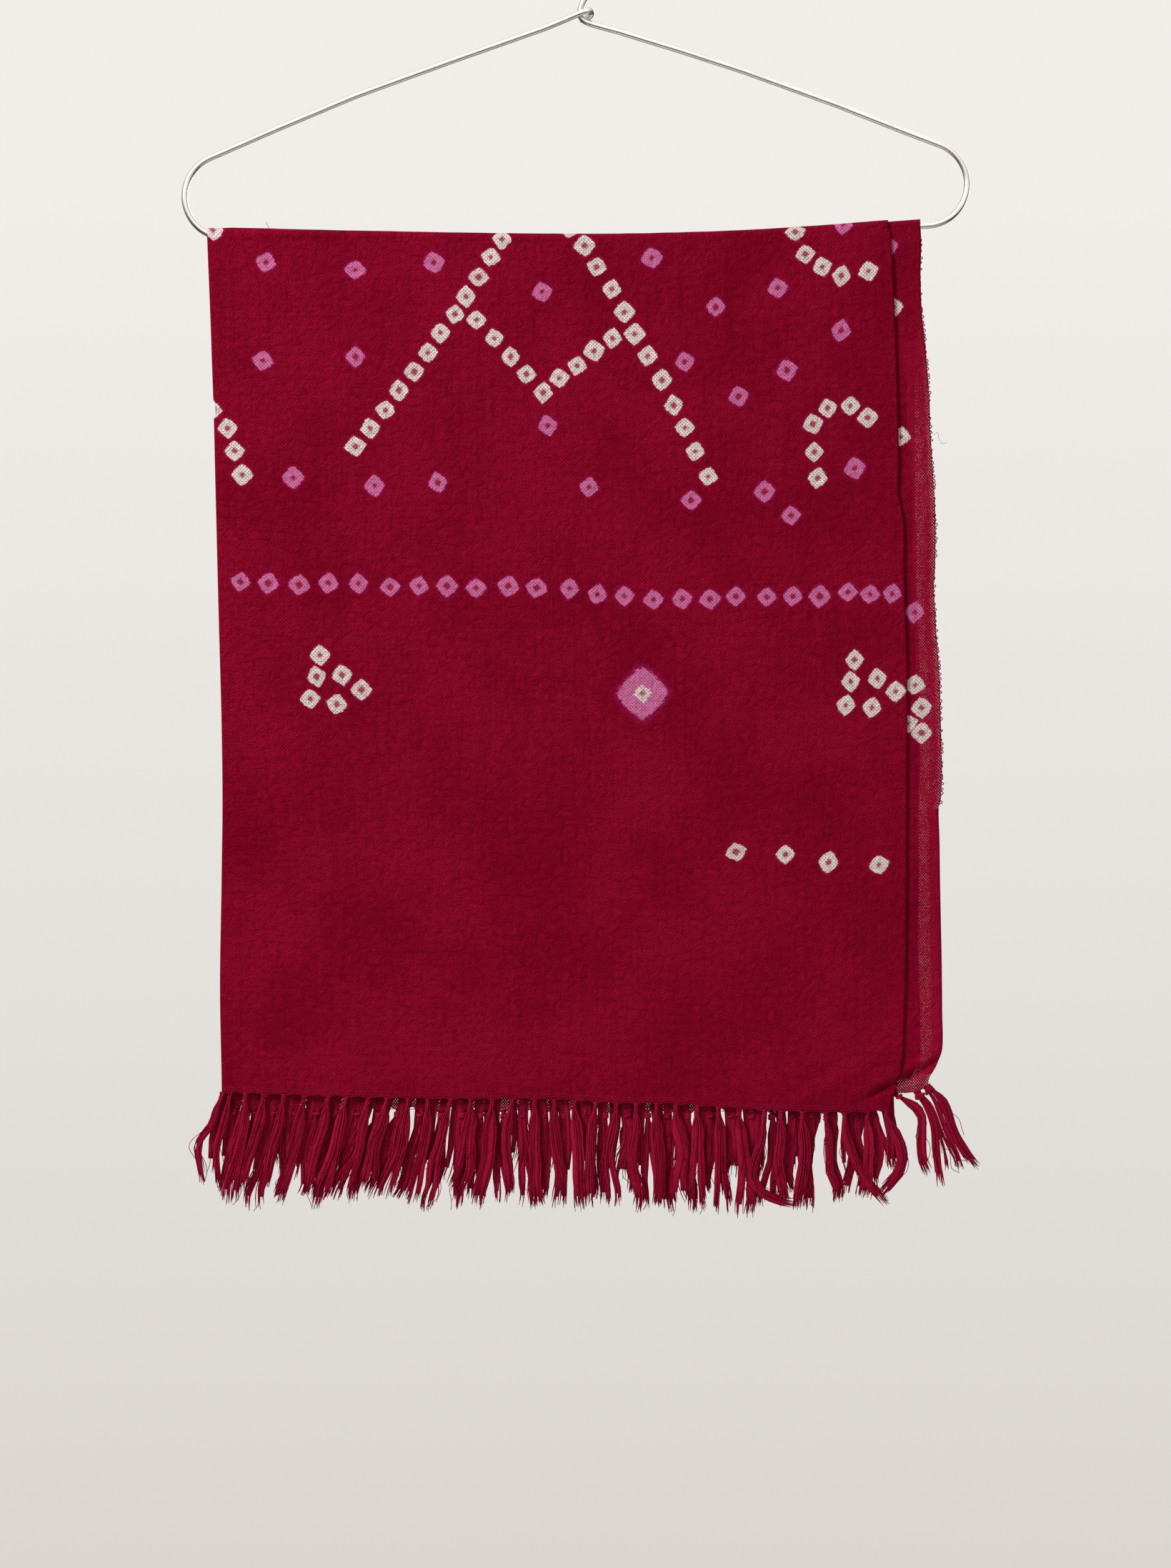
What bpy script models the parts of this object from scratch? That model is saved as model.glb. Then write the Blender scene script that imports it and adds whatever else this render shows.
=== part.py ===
"""A folded stole of fine wool with knotted fringe, hung over the bar of a plain wire hanger.

The stole is folded once across its width and once along its length, so four layers hang in front of
the bar and four behind it. The outer layer is continuous: front, over the bar, back, and round the
length fold at the foot of the back. Its left edge is the rolled width fold. The under layer lies 0.3 mm
inside it and its selvedge stands out at the right. The layers that never show are one stepped solid
below the bar.

Frame: +X to the viewer's right, -Y towards the viewer, +Z up. The origin is the underside of the top
of the hook, where a rail carries the hanger. Sizes below are in millimetres.
"""
import math
import random
from collections import namedtuple

import bmesh
import bpy
from mathutils import Vector

MM = 0.001
GAP = 0.3

# The wire hanger
WIRE_R = 1.6
HOOK_INNER_R = 18.0
HOOK_R = HOOK_INNER_R + WIRE_R
HOOK_ANGLES = (195.0, -15.0)
HOOK_TIP = (-21.6, 0.0, -31.5)
BEND_R = 21.6
LEFT_BEND = (-187.0, -159.3)
RIGHT_BEND = (175.8, -152.9)
LEFT_ARM_ANGLE = 113.0
RIGHT_ARM_ANGLE = 70.0
WIRE_STEP_ANGLE = 12.0
BAR_SPANS = 16

# The cloth stack: heights are measured outwards from the middle of the folded stack
CLOTH = 1.0
CORE_HALF = 1.2
UNDER_IN = CORE_HALF + GAP
UNDER_OUT = UNDER_IN + CLOTH
OUTER_IN = UNDER_OUT + GAP
OUTER_OUT = OUTER_IN + CLOTH
BAR_LIFT = WIRE_R + GAP - UNDER_IN
BAR_LIFT_FADE = 12.0
SWELL_FADE = 60.0
FOLD_R = (OUTER_OUT - UNDER_IN) / 2
FOLD_MID = (OUTER_OUT + UNDER_IN) / 2
FOLD_RETURN = 2.0
LENGTH_FOLD_R = OUTER_OUT / 2
CORE_STEP = 6.5
CORE_TOP_GAP = 1.5

# The fringe
STRIP_H = 2.4
ROOT_HALF = 1.4
KNOT_PITCH = 10.8
FRINGE_SEED = 11

# How finely the cloth is divided
FRONT_ROWS = 18
BAR_ROWS = 8
BACK_ROWS = 13
LENGTH_FOLD_ROWS = 6
COLUMN_X = [150.0 - 25.0 * k for k in range(14)]
CORE_COLUMNS = 12
CORE_ROWS = 11
ROLL_STEPS = 4

WireRow = namedtuple("WireRow", "x y z")
STEM = (
    WireRow(16.9, 0.0, -29.0),
    WireRow(11.6, 0.1, -38.5),
    WireRow(4.6, 0.4, -48.0),
    WireRow(-1.3, 1.1, -57.5),
    WireRow(-3.2, 1.7, -62.4),
    WireRow(-2.9, 1.8, -65.9),
    WireRow(-0.2, 1.7, -68.5),
    WireRow(6.0, 1.2, -70.7),
    WireRow(17.2, 0.5, -73.9),
)
RIGHT_ARM = (
    WireRow(50.0, 0.0, -84.1),
    WireRow(81.9, 0.0, -94.5),
    WireRow(130.0, 0.0, -111.9),
    WireRow(165.0, 0.0, -125.7),
)
BAR = (
    WireRow(-187.0, 0.0, -180.9),
    WireRow(-130.0, 0.0, -181.6),
    WireRow(-60.0, 0.0, -182.3),
    WireRow(0.0, 0.0, -182.4),
    WireRow(60.0, 0.0, -181.2),
    WireRow(110.0, 0.0, -178.8),
    WireRow(150.0, 0.0, -176.1),
    WireRow(175.8, 0.0, -174.5),
)
LEFT_ARM = (
    WireRow(-160.0, 0.0, -124.0),
    WireRow(-119.7, 0.0, -107.1),
    WireRow(-70.0, 0.0, -89.0),
    WireRow(-22.5, -0.6, -72.4),
)
NECK_LOOP = (
    WireRow(-11.1, -1.4, -67.9),
    WireRow(-3.0, -1.9, -64.5),
    WireRow(0.9, -1.5, -63.3),
    WireRow(2.6, 0.7, -63.2),
    WireRow(2.4, 3.3, -64.5),
    WireRow(0.0, 5.2, -66.0),
    WireRow(-3.6, 5.5, -66.6),
)

# Where the cloth's upright edges lie, by how far they hang below the bar
EdgeRow = namedtuple("EdgeRow", "drop left outer_right under_right")
FRONT_EDGES = (
    EdgeRow(0.0, -196.8, 157.5, 172.7),
    EdgeRow(45.0, -195.0, 159.8, 174.6),
    EdgeRow(90.0, -193.4, 161.2, 178.0),
    EdgeRow(135.0, -192.3, 161.6, 180.1),
    EdgeRow(160.0, -191.7, 164.4, 180.9),
    EdgeRow(185.0, -191.0, 164.7, 180.0),
    EdgeRow(230.0, -189.8, 166.1, 182.8),
    EdgeRow(281.0, -188.8, 165.9, 183.9),
    EdgeRow(302.0, -188.7, 165.8, 182.4),
    EdgeRow(345.0, -189.3, 165.6, 183.3),
    EdgeRow(390.0, -190.0, 165.2, 184.0),
    EdgeRow(424.0, -189.5, 163.9, 184.2),
    EdgeRow(436.0, -189.2, 162.4, 180.2),
    EdgeRow(448.0, -189.2, 159.6, 176.4),
    EdgeRow(460.0, -189.2, 157.2, 175.4),
)
BACK_EDGES = (
    EdgeRow(0.0, -196.8, 157.5, 172.7),
    EdgeRow(110.0, -192.0, 158.9, 172.9),
    EdgeRow(220.0, -189.4, 161.2, 175.6),
    EdgeRow(330.0, -188.3, 160.6, 177.4),
    EdgeRow(440.0, -188.4, 158.8, 175.8),
)

# The lower edges, by place across the cloth
HemRow = namedtuple("HemRow", "x outer under inner")
HEMS = (
    HemRow(-190.0, -623.9, -631.6, -613.0),
    HemRow(-98.0, -626.9, -632.2, -612.4),
    HemRow(-15.0, -627.6, -632.4, -611.6),
    HemRow(43.0, -629.8, -631.8, -610.8),
    HemRow(88.0, -632.8, -630.4, -610.0),
    HemRow(131.0, -634.3, -628.6, -609.0),
    HemRow(159.0, -633.5, -626.0, -608.5),
    HemRow(178.0, -633.0, -620.0, -608.2),
)

# Broad soft swellings of the hanging cloth, each a low mound
SoftFold = namedtuple("SoftFold", "x drop half_width half_length lean height")
FRONT_FOLDS = (
    SoftFold(-150.0, 300.0, 34.0, 170.0, 0.06, 0.9),
    SoftFold(-66.0, 210.0, 52.0, 130.0, -0.10, 0.8),
    SoftFold(-30.0, 420.0, 46.0, 70.0, 0.15, 1.1),
    SoftFold(38.0, 330.0, 38.0, 120.0, 0.08, 0.7),
    SoftFold(96.0, 180.0, 44.0, 110.0, -0.05, 0.8),
    SoftFold(128.0, 405.0, 36.0, 56.0, 0.30, 1.0),
)
BACK_FOLDS = (
    SoftFold(-140.0, 220.0, 46.0, 150.0, -0.05, 0.9),
    SoftFold(-52.0, 350.0, 50.0, 110.0, 0.12, 1.2),
    SoftFold(22.0, 190.0, 40.0, 120.0, 0.05, 0.8),
    SoftFold(92.0, 310.0, 44.0, 140.0, -0.08, 1.1),
    SoftFold(146.0, 400.0, 26.0, 70.0, 0.10, 0.9),
)

# One hanging lock of yarn, from the knot under the cloth's edge to the tip
LockRing = namedtuple("LockRing", "down half_width half_depth sway")
LOCK_RINGS = (
    LockRing(0.05, 2.1, 1.10, 0.0),
    LockRing(0.11, 1.3, 0.80, 0.1),
    LockRing(0.38, 2.1, 0.95, 0.8),
    LockRing(0.72, 2.5, 1.00, -0.5),
    LockRing(1.00, 1.0, 0.60, 0.3),
)
# Locks that stray from the row's habit
Stray = namedtuple("Stray", "x lean bow length")
OUTER_STRAYS = (
    Stray(-185.0, -6.0, -7.0, 48.0),
    Stray(152.5, -1.0, 6.0, 46.0),
)
UNDER_STRAYS = (
    Stray(159.0, 17.0, 4.5, 43.0),
    Stray(170.3, 13.0, 1.5, 49.0),
    Stray(175.4, 25.0, 2.0, 44.0),
)


def clear_scene():
    for old in list(bpy.data.objects):
        bpy.data.objects.remove(old, do_unlink=True)


def blend(start, end, share):
    return start + (end - start) * share


def ease(share):
    share = max(0.0, min(1.0, share))
    return share * share * (3 - 2 * share)


def smooth(rows, column, at):
    """Read one column of a table at any place, along a smooth curve through its rows."""
    spots = [row[0] for row in rows]
    values = [getattr(row, column) for row in rows]
    if at <= spots[0]:
        return values[0]
    if at >= spots[-1]:
        return values[-1]
    span = max(k for k in range(len(rows) - 1) if spots[k] <= at)

    def slope(k):
        low, high = max(k - 1, 0), min(k + 1, len(rows) - 1)
        return (values[high] - values[low]) / (spots[high] - spots[low])

    width = spots[span + 1] - spots[span]
    t = (at - spots[span]) / width
    leave = t * (1 - t) * (1 - t) * slope(span) * width
    arrive = t * t * (1 - t) * slope(span + 1) * width
    return blend(values[span], values[span + 1], ease(t)) + leave - arrive


def swelling(folds, x, drop):
    """How far the soft folds push the cloth outwards, in millimetres."""
    push = 0.0
    for fold in folds:
        aside = (x - fold.x - fold.lean * (drop - fold.drop)) / fold.half_width
        along = (drop - fold.drop) / fold.half_length
        push += fold.height * math.exp(-aside * aside - along * along)
    return push * ease(drop / SWELL_FADE)


def bar_lift(drop):
    """The stack opens a little where it passes over the wire."""
    return BAR_LIFT * (1 - ease(drop / BAR_LIFT_FADE))


def material(name, colour, roughness, metallic=0.0):
    made = bpy.data.materials.new(name)
    made.use_nodes = True
    shader = made.node_tree.nodes["Principled BSDF"]
    shader.inputs["Base Color"].default_value = (*colour, 1.0)
    shader.inputs["Roughness"].default_value = roughness
    shader.inputs["Metallic"].default_value = metallic
    return made


def add_object(name, data, finish):
    made = bpy.data.objects.new(name, data)
    bpy.context.scene.collection.objects.link(made)
    data.materials.append(finish)
    return made


def finish_mesh(name, mesh, finish):
    """Turn a bmesh in millimetres into a smooth-shaded object in metres."""
    bmesh.ops.recalc_face_normals(mesh, faces=mesh.faces)
    bmesh.ops.scale(mesh, vec=(MM, MM, MM), verts=mesh.verts)
    data = bpy.data.meshes.new(name)
    mesh.to_mesh(data)
    mesh.free()
    data.shade_smooth()
    data.set_sharp_from_angle(angle=math.radians(50))
    return add_object(name, data, finish)


def arc(centre, start, end, radius=BEND_R):
    """Wire points round a bend, by angles in degrees from +X towards +Z."""
    steps = max(2, round(abs(end - start) / WIRE_STEP_ANGLE))
    points = []
    for k in range(steps + 1):
        angle = math.radians(blend(start, end, k / steps))
        x = centre[0] + radius * math.cos(angle)
        points.append(Vector((x, 0.0, centre[1] + radius * math.sin(angle))))
    return points


def curved(rows):
    """Wire points along a smooth curve through a few hand-placed ones, one more in each span."""
    points = [Vector(row) for row in rows]
    along = []
    for k in range(len(points) - 1):
        before = points[max(k - 1, 0)]
        after = points[min(k + 2, len(points) - 1)]
        middle = (points[k] + points[k + 1]) * 9 / 16 - (before + after) / 16
        along += [points[k], middle]
    return along + [points[-1]]


def bar_z(x):
    """Height of the bar's middle, which starts to rise where the end bends begin."""
    for centre, is_past in ((LEFT_BEND, x < LEFT_BEND[0]), (RIGHT_BEND, x > RIGHT_BEND[0])):
        if is_past:
            aside = min(abs(x - centre[0]), BEND_R / 2)
            return centre[1] - math.sqrt(BEND_R * BEND_R - aside * aside)
    return smooth(BAR, "z", x)


def hanger_route():
    hook = [Vector(HOOK_TIP)] + arc((0.0, -HOOK_INNER_R), *HOOK_ANGLES, HOOK_R)
    neck_out = curved(STEM)
    right = [Vector(row) for row in RIGHT_ARM] + arc(RIGHT_BEND, RIGHT_ARM_ANGLE, -90)
    spots = [blend(RIGHT_BEND[0], LEFT_BEND[0], k / BAR_SPANS) for k in range(1, BAR_SPANS)]
    bar = [Vector((x, 0.0, bar_z(x))) for x in spots]
    left = arc(LEFT_BEND, 270, LEFT_ARM_ANGLE) + [Vector(row) for row in LEFT_ARM]
    return hook + neck_out + right + bar + left + curved(NECK_LOOP)


def make_hanger(finish):
    """The whole hanger is one bent wire with its end turned once round the stem."""
    route = hanger_route()
    curve = bpy.data.curves.new("hanger_wire", "CURVE")
    curve.dimensions = "3D"
    curve.bevel_depth = WIRE_R * MM
    curve.bevel_resolution = 3
    curve.render_resolution_u = 0
    curve.use_fill_caps = True
    spline = curve.splines.new("POLY")
    spline.points.add(len(route) - 1)
    for point, spot in zip(spline.points, route):
        point.co = (*(spot * MM), 1.0)
    spline.use_smooth = True
    return add_object("hanger_wire", curve, finish)


def hem(column, x):
    return smooth(HEMS, column, x)


def length_fold_z(x):
    """Height of the middle of the length fold at the foot of the back."""
    return hem("inner", x) - GAP


# A stack path runs up the front, over the bar, down the back and round the length fold.
# One station of it names the part it is on and how far along that part it lies.
Station = namedtuple("Station", "part share")


def stations(part, count, start, end):
    return [Station(part, blend(start, end, k / count)) for k in range(count + 1)]


def hanging_rows():
    """Stations from the front hem, over the bar, to the foot of the back."""
    rows = stations("front", FRONT_ROWS, 1.0, 0.0)
    rows += stations("over", BAR_ROWS, 0.0, 1.0)[1:]
    rows += stations("back", BACK_ROWS, 0.0, 1.0)[1:]
    return rows


def drop_at(station, lower, x):
    """How far below the bar a station lies, for a layer that ends at the height lower(x)."""
    if station.part == "over":
        return 0.0
    if station.part == "fold":
        return bar_z(x) - lower(x)
    return station.share * (bar_z(x) - lower(x))


def place(station, x, height, drop):
    """The point at a height above the middle of the stack, in millimetres."""
    if station.part == "front":
        out = height + bar_lift(drop) + swelling(FRONT_FOLDS, x, drop)
        return Vector((x, -out, bar_z(x) - drop))
    if station.part == "over":
        angle = math.pi * station.share
        radius = height + BAR_LIFT
        return Vector((x, -radius * math.cos(angle), bar_z(x) + radius * math.sin(angle)))
    swell = bar_lift(drop) + swelling(BACK_FOLDS, x, drop)
    if station.part == "back":
        return Vector((x, height + swell, bar_z(x) - drop))
    angle = math.pi * station.share
    radius = height - LENGTH_FOLD_R
    middle = swell + LENGTH_FOLD_R
    return Vector((x, middle + radius * math.cos(angle), bar_z(x) - drop - radius * math.sin(angle)))


# A grid column either lies at one x or follows an edge of the cloth, set in by some distance
Edge = namedtuple("Edge", "name inset")


def locate(station, lower, column):
    """The x and the drop where a column crosses a station, for a layer that ends at lower(x)."""
    if not isinstance(column, Edge):
        return column, drop_at(station, lower, column)
    edges = FRONT_EDGES if station.part == "front" else BACK_EDGES
    x = edges[0].left if column.name == "left" else edges[0].outer_right
    for _ in range(3):
        x = smooth(edges, column.name, drop_at(station, lower, x)) + column.inset
    return x, drop_at(station, lower, x)


def cloth_wall(name, outside, inside, cells, finish):
    """One closed wall between two grids of points, with cloth only in the listed cells."""
    mesh = bmesh.new()
    corner = {}

    def vertex(grid, row, column):
        key = (grid is outside, row, column)
        if key not in corner:
            corner[key] = mesh.verts.new(grid[row][column])
        return corner[key]

    for row, column in sorted(cells):
        ring = ((row, column), (row, column + 1), (row + 1, column + 1), (row + 1, column))
        mesh.faces.new([vertex(outside, *at) for at in ring])
        mesh.faces.new([vertex(inside, *at) for at in reversed(ring)])
        beside = ((row - 1, column), (row, column + 1), (row + 1, column), (row, column - 1))
        for side, neighbour in enumerate(beside):
            if neighbour not in cells:
                start, end = ring[side], ring[(side + 1) % 4]
                mesh.faces.new([vertex(outside, *end), vertex(outside, *start),
                                vertex(inside, *start), vertex(inside, *end)])
    return finish_mesh(name, mesh, finish)


def outer_columns():
    return [Edge("outer_right", 0.0), *COLUMN_X, Edge("left", FOLD_R)]


def outer_surface(depth):
    """Grid of points of the outer layer, at a depth under its outside: 0 or the cloth's thickness."""
    def front_hem(x):
        return hem("outer", x)

    columns = outer_columns()
    grid = []
    for station in hanging_rows() + stations("fold", LENGTH_FOLD_ROWS, 0.0, 1.0)[1:]:
        lower = front_hem if station.part == "front" else length_fold_z
        places = [locate(station, lower, column) for column in columns]
        line = [place(station, x, OUTER_OUT - depth, drop) for x, drop in places]
        radius = FOLD_R - depth
        middle, drop = places[-1]
        for k in range(1, ROLL_STEPS + 1):
            angle = math.pi * k / ROLL_STEPS
            height = FOLD_MID + radius * math.cos(angle)
            line.append(place(station, middle - radius * math.sin(angle), height, drop))
        line.append(place(station, middle + FOLD_RETURN, FOLD_MID - radius, drop))
        grid.append(line)
    return grid


def make_outer_layer(finish):
    """The layer that shows: front, over the bar, back and round the length fold."""
    outside = outer_surface(0.0)
    inside = outer_surface(CLOTH)
    flat = len(outer_columns()) - 1
    hanging = FRONT_ROWS + BAR_ROWS + BACK_ROWS
    cells = {(row, column) for row in range(hanging) for column in range(flat + ROLL_STEPS + 1)}
    cells |= {(row, column) for row in range(hanging, hanging + LENGTH_FOLD_ROWS)
              for column in range(flat - 1)}
    return cloth_wall("outer_layer", outside, inside, cells, finish)


def under_surface(height):
    """Grid of points of the under layer at one height above the middle of the stack."""
    def front_hem(x):
        return hem("under", x)

    def back_hem(x):
        return length_fold_z(x) + GAP

    columns = [Edge("under_right", 0.0), Edge("outer_right", 0.0), *COLUMN_X,
               Edge("left", FOLD_R + FOLD_RETURN + GAP)]
    grid = []
    for station in hanging_rows():
        lower = front_hem if station.part == "front" else back_hem
        places = [locate(station, lower, column) for column in columns]
        grid.append([place(station, x, height, drop) for x, drop in places])
    return grid


def make_under_layer(finish):
    """The second layer, whose selvedge stands out at the right of the front and the back."""
    outside = under_surface(UNDER_OUT)
    cells = {(row, column) for row in range(len(outside) - 1) for column in range(len(outside[0]) - 1)}
    return cloth_wall("under_layer", outside, under_surface(UNDER_IN), cells, finish)


def core_outline():
    """Outline of the inner layers seen from above, in rows of (share across, inset, height).

    Front and back are paired columns. The left has two rounded folds, front pair and back pair,
    and the right is stepped, the front pair reaching further."""
    fold = CORE_HALF / 2
    shares = [1 - k / CORE_COLUMNS for k in range(CORE_COLUMNS + 1)]
    front = [(share, fold * (1 - share), CORE_HALF) for share in shares]
    back = [(share, inset, -height) for share, inset, height in front]
    angles = [math.pi * k / ROLL_STEPS for k in range(1, ROLL_STEPS)]
    roll = [(0.0, fold * (1 - math.sin(angle)), fold * (1 + math.cos(angle))) for angle in angles]
    groove = [(0.0, fold, 0.0)]
    left = roll + groove + [(share, inset, -height) for share, inset, height in reversed(roll)]
    right = [(1.0, 0.0, 0.0), (1.0, CORE_STEP, 0.0), (1.0, CORE_STEP, CORE_HALF)]
    return front, left, back, right


def core_point(row, share, inset, height):
    """One point of the inner layers, whose top lies just under the wire."""
    x = 0.0
    for _ in range(3):
        top = bar_z(x) - WIRE_R - CORE_TOP_GAP
        drop = bar_z(x) - blend(top, hem("inner", x), row / CORE_ROWS)
        left = smooth(FRONT_EDGES, "left", drop) + FOLD_R + GAP
        right = smooth(FRONT_EDGES, "outer_right", drop)
        x = blend(left, right, share) + inset
    top = bar_z(x) - WIRE_R - CORE_TOP_GAP
    z = blend(top, hem("inner", x), row / CORE_ROWS)
    return Vector((x, -height, z))


def make_inner_layers(finish):
    """The layers that never show, as one stepped solid between the front and the back."""
    front, left, back, right = core_outline()
    outline = front + left + back[::-1] + right
    mesh = bmesh.new()
    rings = []
    for row in range(CORE_ROWS + 1):
        rings.append([mesh.verts.new(core_point(row, *corner)) for corner in outline])
    count = len(outline)
    for upper, lower in zip(rings, rings[1:]):
        for k in range(count):
            mesh.faces.new([upper[k], upper[(k + 1) % count], lower[(k + 1) % count], lower[k]])
    last = CORE_COLUMNS
    for ring in (rings[0], rings[-1]):
        behind = ring[last + 1 + len(left):2 * last + 2 + len(left)][::-1]
        step = ring[-len(right):]
        mesh.faces.new(ring[last:last + 1 + len(left)] + [behind[last]])
        mesh.faces.new([ring[1], behind[1], behind[0], step[0], ring[0]])
        mesh.faces.new(step + [ring[0]])
        for k in range(1, last):
            mesh.faces.new([ring[k], ring[k + 1], behind[k + 1], behind[k]])
    return finish_mesh("inner_layers", mesh, finish)


def lock_plan(first, last, strays, lengths, rng):
    """Where the locks of one row hang: regular ones by pitch, with the strays among them."""
    regular = []
    taken = [stray.x for stray in strays]
    count = round((last - first) / KNOT_PITCH)
    for k in range(count + 1):
        x = blend(first, last, k / count)
        if all(abs(x - other) > KNOT_PITCH * 0.6 for other in taken):
            lean = rng.uniform(-2.4, 2.4)
            bow = rng.uniform(-1.4, 1.4)
            regular.append(Stray(x + rng.uniform(-0.8, 0.8), lean, bow, rng.uniform(*lengths)))
    return sorted(regular + list(strays), key=lambda lock: lock.x)


def make_fringe(name, column, back, front, deepen, plan, ends, finish):
    """A narrow strip under one hem with its knotted locks fused to it.

    back and front are the heights of the strip's faces; a row with deepen set thickens outwards."""
    mesh = bmesh.new()

    def corner(x, z, height):
        swell = 0.0 if column == "inner" else swelling(FRONT_FOLDS, x, bar_z(x) - z)
        return mesh.verts.new((x, -(height + swell), z))

    def strip_ring(x):
        top = hem(column, x) - GAP
        low = top - STRIP_H
        return [corner(x, top, front), corner(x, top, back), corner(x, low, back), corner(x, low, front)]

    marks = [(ends[0], None)]
    for lock in plan:
        marks += [(lock.x - ROOT_HALF, lock), (lock.x + ROOT_HALF, None)]
    marks.append((ends[1], None))
    rings = [strip_ring(x) for x, _ in marks]
    mesh.faces.new(rings[0])
    mesh.faces.new(list(reversed(rings[-1])))
    for index, (near, far) in enumerate(zip(rings, rings[1:])):
        lock = marks[index][1]
        for side in range(4):
            is_underside = side == 2
            if is_underside and lock:
                continue
            nxt = (side + 1) % 4
            mesh.faces.new([near[side], near[nxt], far[nxt], far[side]])
        if not lock:
            continue
        start = [near[3], far[3], far[2], near[2]]
        root_z = hem(column, lock.x) - GAP - STRIP_H
        for row in LOCK_RINGS:
            z = root_z - lock.length * row.down
            x = lock.x + lock.lean * row.down + lock.bow * math.sin(math.pi * row.down) + row.sway
            outer = back + 2 * row.half_depth if deepen else front
            ring = [corner(x - row.half_width, z, outer), corner(x + row.half_width, z, outer),
                    corner(x + row.half_width, z, back), corner(x - row.half_width, z, back)]
            for side in range(4):
                nxt = (side + 1) % 4
                mesh.faces.new([start[side], start[nxt], ring[nxt], ring[side]])
            start = ring
        mesh.faces.new(start)
    return finish_mesh(name, mesh, finish)


def make_fringes(finish):
    rng = random.Random(FRINGE_SEED)
    outer = lock_plan(-185.0, 152.5, OUTER_STRAYS, (44.0, 54.0), rng)
    under = lock_plan(-180.0, 148.0, UNDER_STRAYS, (40.0, 51.0), rng)
    inner = lock_plan(-183.0, 152.0, (), (44.0, 54.0), rng)
    make_fringe("fringe_outer", "outer", OUTER_IN, OUTER_OUT, True, outer, (-188.8, 156.6), finish)
    make_fringe("fringe_under", "under", UNDER_IN, UNDER_OUT, False, under, (-185.4, 177.6), finish)
    make_fringe("fringe_inner", "inner", GAP, CORE_HALF, False, inner, (-187.4, 163.0), finish)


def main():
    clear_scene()
    steel = material("polished wire", (0.72, 0.72, 0.72), 0.22, 1.0)
    outer_wool = material("dyed wool, outer", (0.24, 0.006, 0.025), 0.85)
    under_wool = material("dyed wool, under", (0.20, 0.004, 0.018), 0.85)
    inner_wool = material("dyed wool, inner", (0.16, 0.003, 0.014), 0.88)
    yarn = material("fringe yarn", (0.26, 0.008, 0.035), 0.9)
    make_hanger(steel)
    make_outer_layer(outer_wool)
    make_under_layer(under_wool)
    make_inner_layers(inner_wool)
    make_fringes(yarn)


main()
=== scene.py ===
# %% [markdown]
# # A tie-dyed wool stole with a knotted fringe, folded over a wire hanger
# The CAD model says where everything is and how big it is. This lesson dresses it: thin cloth shells
# with creases and hand-tied dots, a fringe made of single yarns, and a bright wire hanger.
# It works in millimetres, the way a maker would measure the cloth, and turns to metres at the end.

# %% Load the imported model
import math
import random
from collections import namedtuple

import bpy
import numpy as np
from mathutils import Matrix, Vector, noise


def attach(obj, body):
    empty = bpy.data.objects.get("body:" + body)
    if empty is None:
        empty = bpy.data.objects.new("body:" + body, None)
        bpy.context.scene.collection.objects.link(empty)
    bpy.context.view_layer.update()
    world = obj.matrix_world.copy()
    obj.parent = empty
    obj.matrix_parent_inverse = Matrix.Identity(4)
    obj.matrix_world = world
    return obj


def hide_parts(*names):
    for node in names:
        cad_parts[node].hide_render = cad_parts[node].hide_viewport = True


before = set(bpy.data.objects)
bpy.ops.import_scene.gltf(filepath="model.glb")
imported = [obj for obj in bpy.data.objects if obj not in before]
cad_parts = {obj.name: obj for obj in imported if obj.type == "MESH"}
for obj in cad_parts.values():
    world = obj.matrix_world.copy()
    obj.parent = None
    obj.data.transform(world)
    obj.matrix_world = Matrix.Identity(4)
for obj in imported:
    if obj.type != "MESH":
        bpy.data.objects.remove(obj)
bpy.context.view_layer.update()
MM = 0.001


# %% Colours, nodes, materials and objects
def linear(colour):
    """The linear RGBA of an sRGB hex colour such as "#80102A"."""
    shares = [int(colour[k:k + 2], 16) / 255 for k in (1, 3, 5)]
    return (*[c / 12.92 if c <= 0.04045 else ((c + 0.055) / 1.055) ** 2.4 for c in shares], 1.0)


def set_inputs(tree, node, inputs):
    """Fill a node's inputs: each takes a value, a socket to link, or a node whose first output is linked."""
    for name, value in inputs.items():
        if isinstance(value, bpy.types.Node):
            value = value.outputs[0]
        if isinstance(value, bpy.types.NodeSocket):
            tree.links.new(value, node.inputs[name])
        else:
            node.inputs[name].default_value = value


def add(tree, kind, inputs=None, **settings):
    """Add a node with its settings and links."""
    made = tree.nodes.new(kind)
    for name, value in settings.items():
        setattr(made, name, value)
    set_inputs(tree, made, inputs or {})
    return made


def new_material(name):
    """A material with its node tree and its shader."""
    made = bpy.data.materials.new(name)
    made.use_nodes = True
    return made, made.node_tree, made.node_tree.nodes["Principled BSDF"]


def place_object(name, data):
    """Put an object into the scene."""
    made = bpy.data.objects.new(name, data)
    bpy.context.scene.collection.objects.link(made)
    return made


# %% [markdown]
# ## The camera, the light and the floor
# The photograph was taken straight on from a few steps away, so the camera looks along +Y with no
# tilt. A long lens from 2.2 m keeps the hanging edges upright, as they are in the photograph.
# The light there is soft daylight from the upper left. One large area lamp gives it a direction, so
# that small creases throw small shadows, a wide weak one fills them, another lights the back, and a
# pale sky does the rest.
# The sky has three shares: what the camera sees of it is the pale wall, what bright wire mirrors of it
# is lighter above and dark below, as in a room with a window, and its soft light on cloth is even.

# %% Camera
CAMERA_DISTANCE = 2.2
FIELD_HEIGHT = 0.8133
FIELD_MIDDLE = (-0.00056, -0.4641)
SENSOR_HEIGHT = 24.0

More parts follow.
